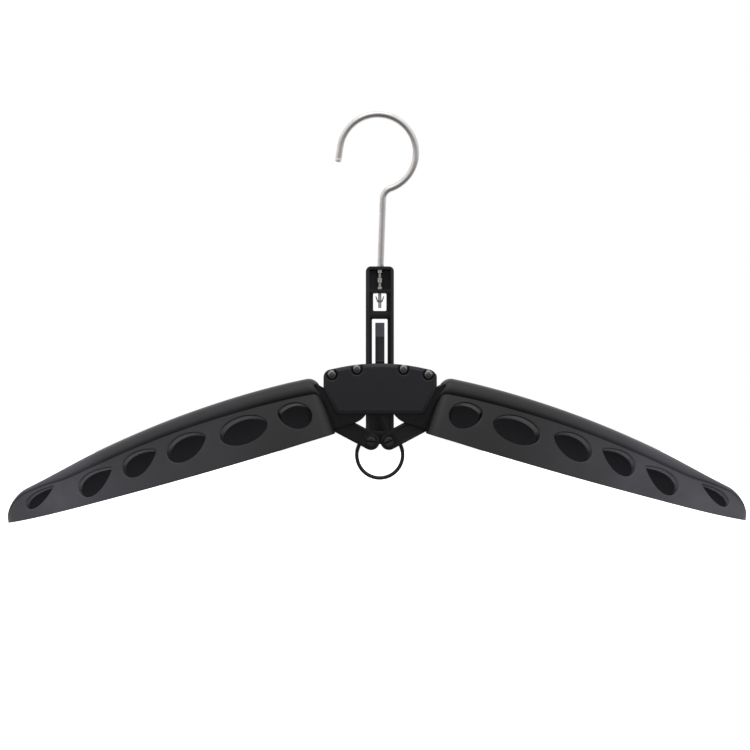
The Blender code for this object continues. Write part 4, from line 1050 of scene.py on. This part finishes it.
def screw_rows(middle, radius, seat, dome, recess, shank, tail, sides=144, rings=52):
    """Rows of (x, y, z): the head's field, its side, its underside, the shank and the tail."""
    turn = np.linspace(0.0, 2 * math.pi, sides, endpoint=False)[None, :]
    r = radius * np.linspace(0.0, 1.0, rings)[:, None] ** 0.85
    u, v = r * np.cos(turn), r * np.sin(turn)
    y = seat - dome(r / radius) + recess(u, v)
    rows = [np.stack([middle[0] + u, y, middle[1] + v], axis=-1)]
    corner = 0.00015
    under = ((radius, seat - corner), (radius - corner, seat), (shank, seat), (shank, tail), (0.0, tail))
    for step, depth in under:
        x, z = middle[0] + step * np.cos(turn), middle[1] + step * np.sin(turn)
        rows.append(np.stack([x, np.full_like(turn, depth), z], axis=-1))
    return np.concatenate(rows)


def pan_dome(share):
    """Tall in the middle, round to a short straight side: 0.4 + 1.6 (1 - s^2.5)^0.5, in millimetres."""
    return 0.0004 + 0.0016 * np.sqrt(1 - share**2.5)


def cheese_dome(share):
    """Flat with a rounded shoulder: 1.2 + 0.7 (1 - s^7)^0.5, in millimetres."""
    return 0.0012 + 0.0007 * np.sqrt(1 - share**7)


# %% Build the screws
def add_screw(node, name, slot, dome, recess, radius, height, shank):
    """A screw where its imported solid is, seated `height` behind the front of its head."""
    low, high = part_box(node)
    skin = Skin()
    rows = screw_rows(front_middle(node), radius, low.y + height, dome, recess, shank, high.y)
    skin.grid(rows, wrap=True)
    skin.finish(node, name, slot, 50)


for number in range(1, 5):
    add_screw(
        f"cover_screw_{number}", f"cover_screw_head_{number}", "screw_steel", pan_dome,
        lambda u, v: cross_recess(u, v, 0.0009), radius=0.0028, height=0.0020, shank=0.00125,
    )
for side, turn in (("left", math.radians(-4)), ("right", math.radians(24))):
    add_screw(
        f"{side}_link_screw", f"{side}_screw", "blackened_screw", cheese_dome,
        lambda u, v: slot_recess(u, v, 0.0014, turn), radius=0.0029, height=0.0019, shank=0.0016,
    )

# %% [markdown]
# ## The housing's covers
# Two covers are screwed together round the necks. The front one has a shallow bevel all round and four
# notches cut into its edge, where the screw heads sit below its face. Bevel and notches cross each other,
# so no single grid fits. Instead every line of the shape, seen from the front, goes into one Delaunay
# triangulation: outline, bevel line, notch rims. The depth of each point is then a function of its
# distances to the outline and to the nearest notch, and each solid is a set of those triangles.

# %% Cover lines in the front view
COVER_HALF_WIDTH, COVER_TOP, COVER_HEIGHT = 0.0343, -0.1496, 0.0304
COVER_CROWN, SHOULDER_INSET, SHOULDER_R = 0.0037, 0.0044, 0.0047
WAIST_DROP, FOOT_INSET, CORNER_R = 0.0144, 0.0078, 0.0008
COVER_WALL, RIM_THINNER, SPLIT = 0.0020, 0.0004, 0.00015
SEAT_DEPTH, PILLAR_R = 0.0026, 0.0046
ARM_WAY_TOP = COVER_TOP - 0.0134
STEM_WAY = 0.0088
BEVEL_WIDTH, BEVEL_SLOPE, EDGE_ROUND = 0.0021, math.tan(math.radians(20)), 0.0005
NOTCH_R, NOTCH_ROUND, NOTCH_RUN = 0.0035, 0.0006, 0.012
RIM_LAP, PILLAR_LAP, PILLAR_GAP = 0.0001, 0.0002, 0.00002
CUT_X, CUT_LOW, CUT_HIGH = 0.04, -0.19, -0.14
ROLL_STEPS = (0.06, 0.2, 0.42, 0.7, 1.0)
COVER_FACE = -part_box("front_cover")[0].y
NOTCH_WAYS = ((-0.58, 0.81), (0.0, 1.0), (0.58, 0.81), (0.0, 1.0))
NOTCHES = [(front_middle(f"cover_screw_{1 + i}"), np.array(way)) for i, way in enumerate(NOTCH_WAYS)]


def cover_outline(corner):
    """Arched top, round shoulders, straight sides that slant in below the waist to a flat foot."""
    shoulder_x = COVER_HALF_WIDTH - SHOULDER_INSET
    radius = (shoulder_x**2 + COVER_CROWN**2) / (2 * COVER_CROWN)
    spread, up = math.asin(shoulder_x / radius), math.pi / 2
    top = arc(0.0, COVER_TOP - radius, radius, up, up - 0.9 * spread, 24)
    middle = (COVER_HALF_WIDTH - SHOULDER_R, COVER_TOP - COVER_CROWN - SHOULDER_R)
    shoulder = arc(*middle, SHOULDER_R, up - spread, 0.0, 16)
    waist = np.array([COVER_HALF_WIDTH, COVER_TOP - WAIST_DROP])
    foot = np.array([COVER_HALF_WIDTH - FOOT_INSET, COVER_TOP - COVER_HEIGHT])
    slant = (foot - waist) / np.linalg.norm(foot - waist)
    below = foot - (corner, 0.0)
    t = np.linspace(0.0, 1.0, 6)[:, None]
    start = foot - slant * corner
    turn = (1 - t) ** 2 * start + 2 * t * (1 - t) * foot + t**2 * below
    right = np.concatenate([top, shoulder, [waist], turn if corner else [foot]])
    return closed_loop(right, right[::-1] * (-1, 1))


def notch_loop(middle, way, radius):
    """A half circle towards the cover's middle, and straight sides past the cover's edge along `way`."""
    turned = math.atan2(way[1], way[0])
    half = arc(*middle, radius, turned + math.pi / 2, turned + 1.5 * math.pi, 24)
    return closed_loop(half, half[-1:] + way * NOTCH_RUN, half[:1] + way * NOTCH_RUN)


def inside_by(points, loop):
    """How far points lie inside a convex loop: the least distance to the lines of its sides."""
    inward = inward_of(loop)
    return np.min(points @ inward.T - np.sum(loop * inward, axis=1), axis=1)


def outside_notches(points):
    """How far points lie outside the nearest notch: their distance from its middle, or from its axis
    beyond the middle, less the notch's radius."""
    gaps = []
    for middle, way in NOTCHES:
        along = (points - middle) @ way
        across = np.abs((points - middle) @ np.array([-way[1], way[0]]))
        gaps.append(np.where(along > 0, across, np.hypot(along, across)) - NOTCH_R)
    return np.min(gaps, axis=0)


# %% One triangulation for both covers
outline = cover_outline(CORNER_R)
mitred = cover_outline(0.0)
lines = [outline, mitred]
lines += [offset_loop(outline, EDGE_ROUND * step) for step in ROLL_STEPS]
bevel_insets = (BEVEL_WIDTH - LEAD, BEVEL_WIDTH, BEVEL_WIDTH + LEAD)
lines += [offset_loop(mitred, inset) for inset in (COVER_WALL - RIM_THINNER, *bevel_insets)]
for middle, way in NOTCHES:
    lines += [notch_loop(middle, way, NOTCH_R + NOTCH_ROUND * step) for step in (0.0, *ROLL_STEPS, 1.08)]
    lines.append(circle(*middle, PILLAR_R, 40))
lines.append(np.array([(-CUT_X, ARM_WAY_TOP), (CUT_X, ARM_WAY_TOP)]))
lines += [np.array([(x, CUT_LOW), (x, CUT_HIGH)]) for x in (-STEM_WAY, STEM_WAY)]
starts = np.cumsum([0] + [len(line) for line in lines])
edges = []
for start, line in zip(starts, lines):
    edges += [(start + i, start + (i + 1) % len(line)) for i in range(len(line))]
points = [Vector(point) for point in np.concatenate(lines)]
made = delaunay_2d_cdt(points, edges, [], 0, 0.0000005)
cover_points = np.array([tuple(point) for point in made[0]])
cover_triangles = np.array(made[2])
centres = cover_points[cover_triangles].mean(axis=1)
edge_gap, notch_gap = inside_by(centres, outline), outside_notches(centres)
on_cover = edge_gap > 0
counts = len(cover_points), len(cover_triangles), on_cover.sum()
print("cover lines: {} points, {} triangles, {} on the cover".format(*counts))


# %% Build both covers
def add_prism(skin, chosen, front, back):
    """The chosen triangles at two depths, and walls on every edge that only one of them has."""
    triangles = cover_triangles[chosen]
    count = len(cover_points)
    depths = [np.broadcast_to(depth, count) for depth in (front, back)]
    layers = [np.stack([cover_points[:, 0], depth, cover_points[:, 1]], axis=1) for depth in depths]
    sides = np.concatenate([triangles[:, pair] for pair in ([0, 1], [1, 2], [2, 0])])
    _, where, times = np.unique(np.sort(sides, axis=1), axis=0, return_index=True, return_counts=True)
    border = sides[where[times == 1]]
    used, place = np.unique(triangles, return_inverse=True)
    triangles = place.reshape(triangles.shape)
    border = np.searchsorted(used, border)
    total = len(used)
    walls = np.concatenate([border, border[:, ::-1] + total], axis=1)
    skin.add(np.concatenate([layers[0][used], layers[1][used]]), triangles, triangles + total, walls)


from_edge = inside_by(cover_points, outline)
bevel_drop = np.clip(BEVEL_WIDTH - from_edge, 0.0, BEVEL_WIDTH) * BEVEL_SLOPE
bevel_drop = bevel_drop + round_drop(from_edge, EDGE_ROUND)
notch_drop = round_drop(outside_notches(cover_points), NOTCH_ROUND)
clear_of_ways = (centres[:, 1] > ARM_WAY_TOP) & (np.abs(centres[:, 0]) > STEM_WAY)
on_rim = (edge_gap < COVER_WALL - RIM_THINNER) & clear_of_ways
on_pillar = np.min([np.hypot(*(centres - middle).T) for middle, way in NOTCHES], axis=0) < PILLAR_R
pillar_area = (edge_gap > EDGE_ROUND * ROLL_STEPS[2]) & on_pillar
for name, node, way in (("housing_front", "front_cover", -1), ("housing_back", "back_cover", 1)):
    skin = Skin()
    open_notch = notch_gap > 0 if way < 0 else True
    drop = np.maximum(bevel_drop, notch_drop) if way < 0 else bevel_drop
    inside = COVER_FACE - COVER_WALL
    add_prism(skin, on_cover & open_notch, way * (COVER_FACE - drop), way * inside)
    add_prism(skin, on_cover & on_rim & open_notch, way * (inside + RIM_LAP), way * SPLIT)
    seat = COVER_FACE - SEAT_DEPTH if way < 0 else inside + PILLAR_LAP
    add_prism(skin, pillar_area, way * seat, way * (SPLIT + PILLAR_GAP))
    skin.finish(node, name, "cover_plastic")

# %% [markdown]
# ## Studio
# The photograph is a catalogue shot, cut out on white. The light is soft and comes from above and behind
# the object, and the side where the photographer stood is dark, which is why the flat black covers look
# nearly black while the crests of the arms catch light. The camera sees white paper all round; for light
# and reflections the room is a soft function of the direction, so a small world shader stands in for it.

# %% Camera
CAMERA_AWAY = 0.85
CAMERA_YAW, CAMERA_PITCH = math.radians(-1.62), math.radians(-0.82)
CAMERA_AIM = Vector((-0.0029, 0.0, -0.15668))
METRES_PER_PIXEL, PHOTO_PIXELS, SENSOR = 0.00061076, 750, 36
scene = bpy.context.scene
camera = bpy.data.objects.new("camera", bpy.data.cameras.new("camera"))
scene.collection.objects.link(camera)
camera.rotation_euler = (math.radians(90) + CAMERA_PITCH, 0.0, CAMERA_YAW)
camera.location = CAMERA_AIM + camera.rotation_euler.to_matrix() @ Vector((0.0, 0.0, CAMERA_AWAY))
camera.data.sensor_width = SENSOR
camera.data.lens = SENSOR * CAMERA_AWAY / (PHOTO_PIXELS * METRES_PER_PIXEL)
scene.camera = camera
scene.view_settings.view_transform = "Standard"
print("camera lens, mm:", round(camera.data.lens, 1))

# %% Floor
FLOOR_HALF, FLOOR_Z = 6, -0.62
WHITE = (1.0, 1.0, 1.0, 1.0)
corners = [(x * FLOOR_HALF, y * FLOOR_HALF, FLOOR_Z) for x, y in ((-1, -1), (1, -1), (1, 1), (-1, 1))]
floor_mesh = bpy.data.meshes.new("floor")
floor_mesh.from_pydata(corners, [], [(0, 1, 2, 3)])
floor = bpy.data.objects.new("floor", floor_mesh)
scene.collection.objects.link(floor)
floor.visible_diffuse = floor.visible_glossy = False
glow = {"Emission Color": WHITE, "Emission Strength": 0.85}
paper = Finish("white paper", {"Base Color": (0.95, 0.95, 0.95, 1.0), "Roughness": 0.9, **glow})
floor_mesh.materials.append(paper.material)

# %% Light from above
LIGHT_PLACE, LIGHT_AIM = Vector((0.0, -0.35, 1.0)), Vector((0.0, 0.0, -0.15))
light = bpy.data.objects.new("top light", bpy.data.lights.new("top light", "AREA"))
light.data.size, light.data.energy = 1.0, 3.0
light.location = LIGHT_PLACE
light.rotation_euler = (LIGHT_AIM - LIGHT_PLACE).to_track_quat("-Z", "Y").to_euler()
scene.collection.objects.link(light)

# %% The room, by direction
world = bpy.data.worlds.new("white room")
scene.world = world
world.use_nodes = True
room = Nodes(world.node_tree)
towards = room.node("ShaderNodeTexCoord", {}, {}, "Generated")
up, away = room.axis("Z", towards), room.axis("Y", towards)
above = room.ramp(up, -0.35, 0.45, 0.18, 1.00)
behind = room.ramp(away, -0.10, 0.30, 0.00, 1.00)
front = room.ramp(away, -0.97, -0.62, 0.54, 1.00)
seen = room.node("ShaderNodeLightPath", {}, {}, "Is Camera Ray")
background = world.node_tree.nodes["Background"]
room.feed(background.inputs["Color"], WHITE)
room.feed(background.inputs["Strength"], (above.or_more(behind) * front).or_more(seen))
print("room nodes:", len(world.node_tree.nodes))
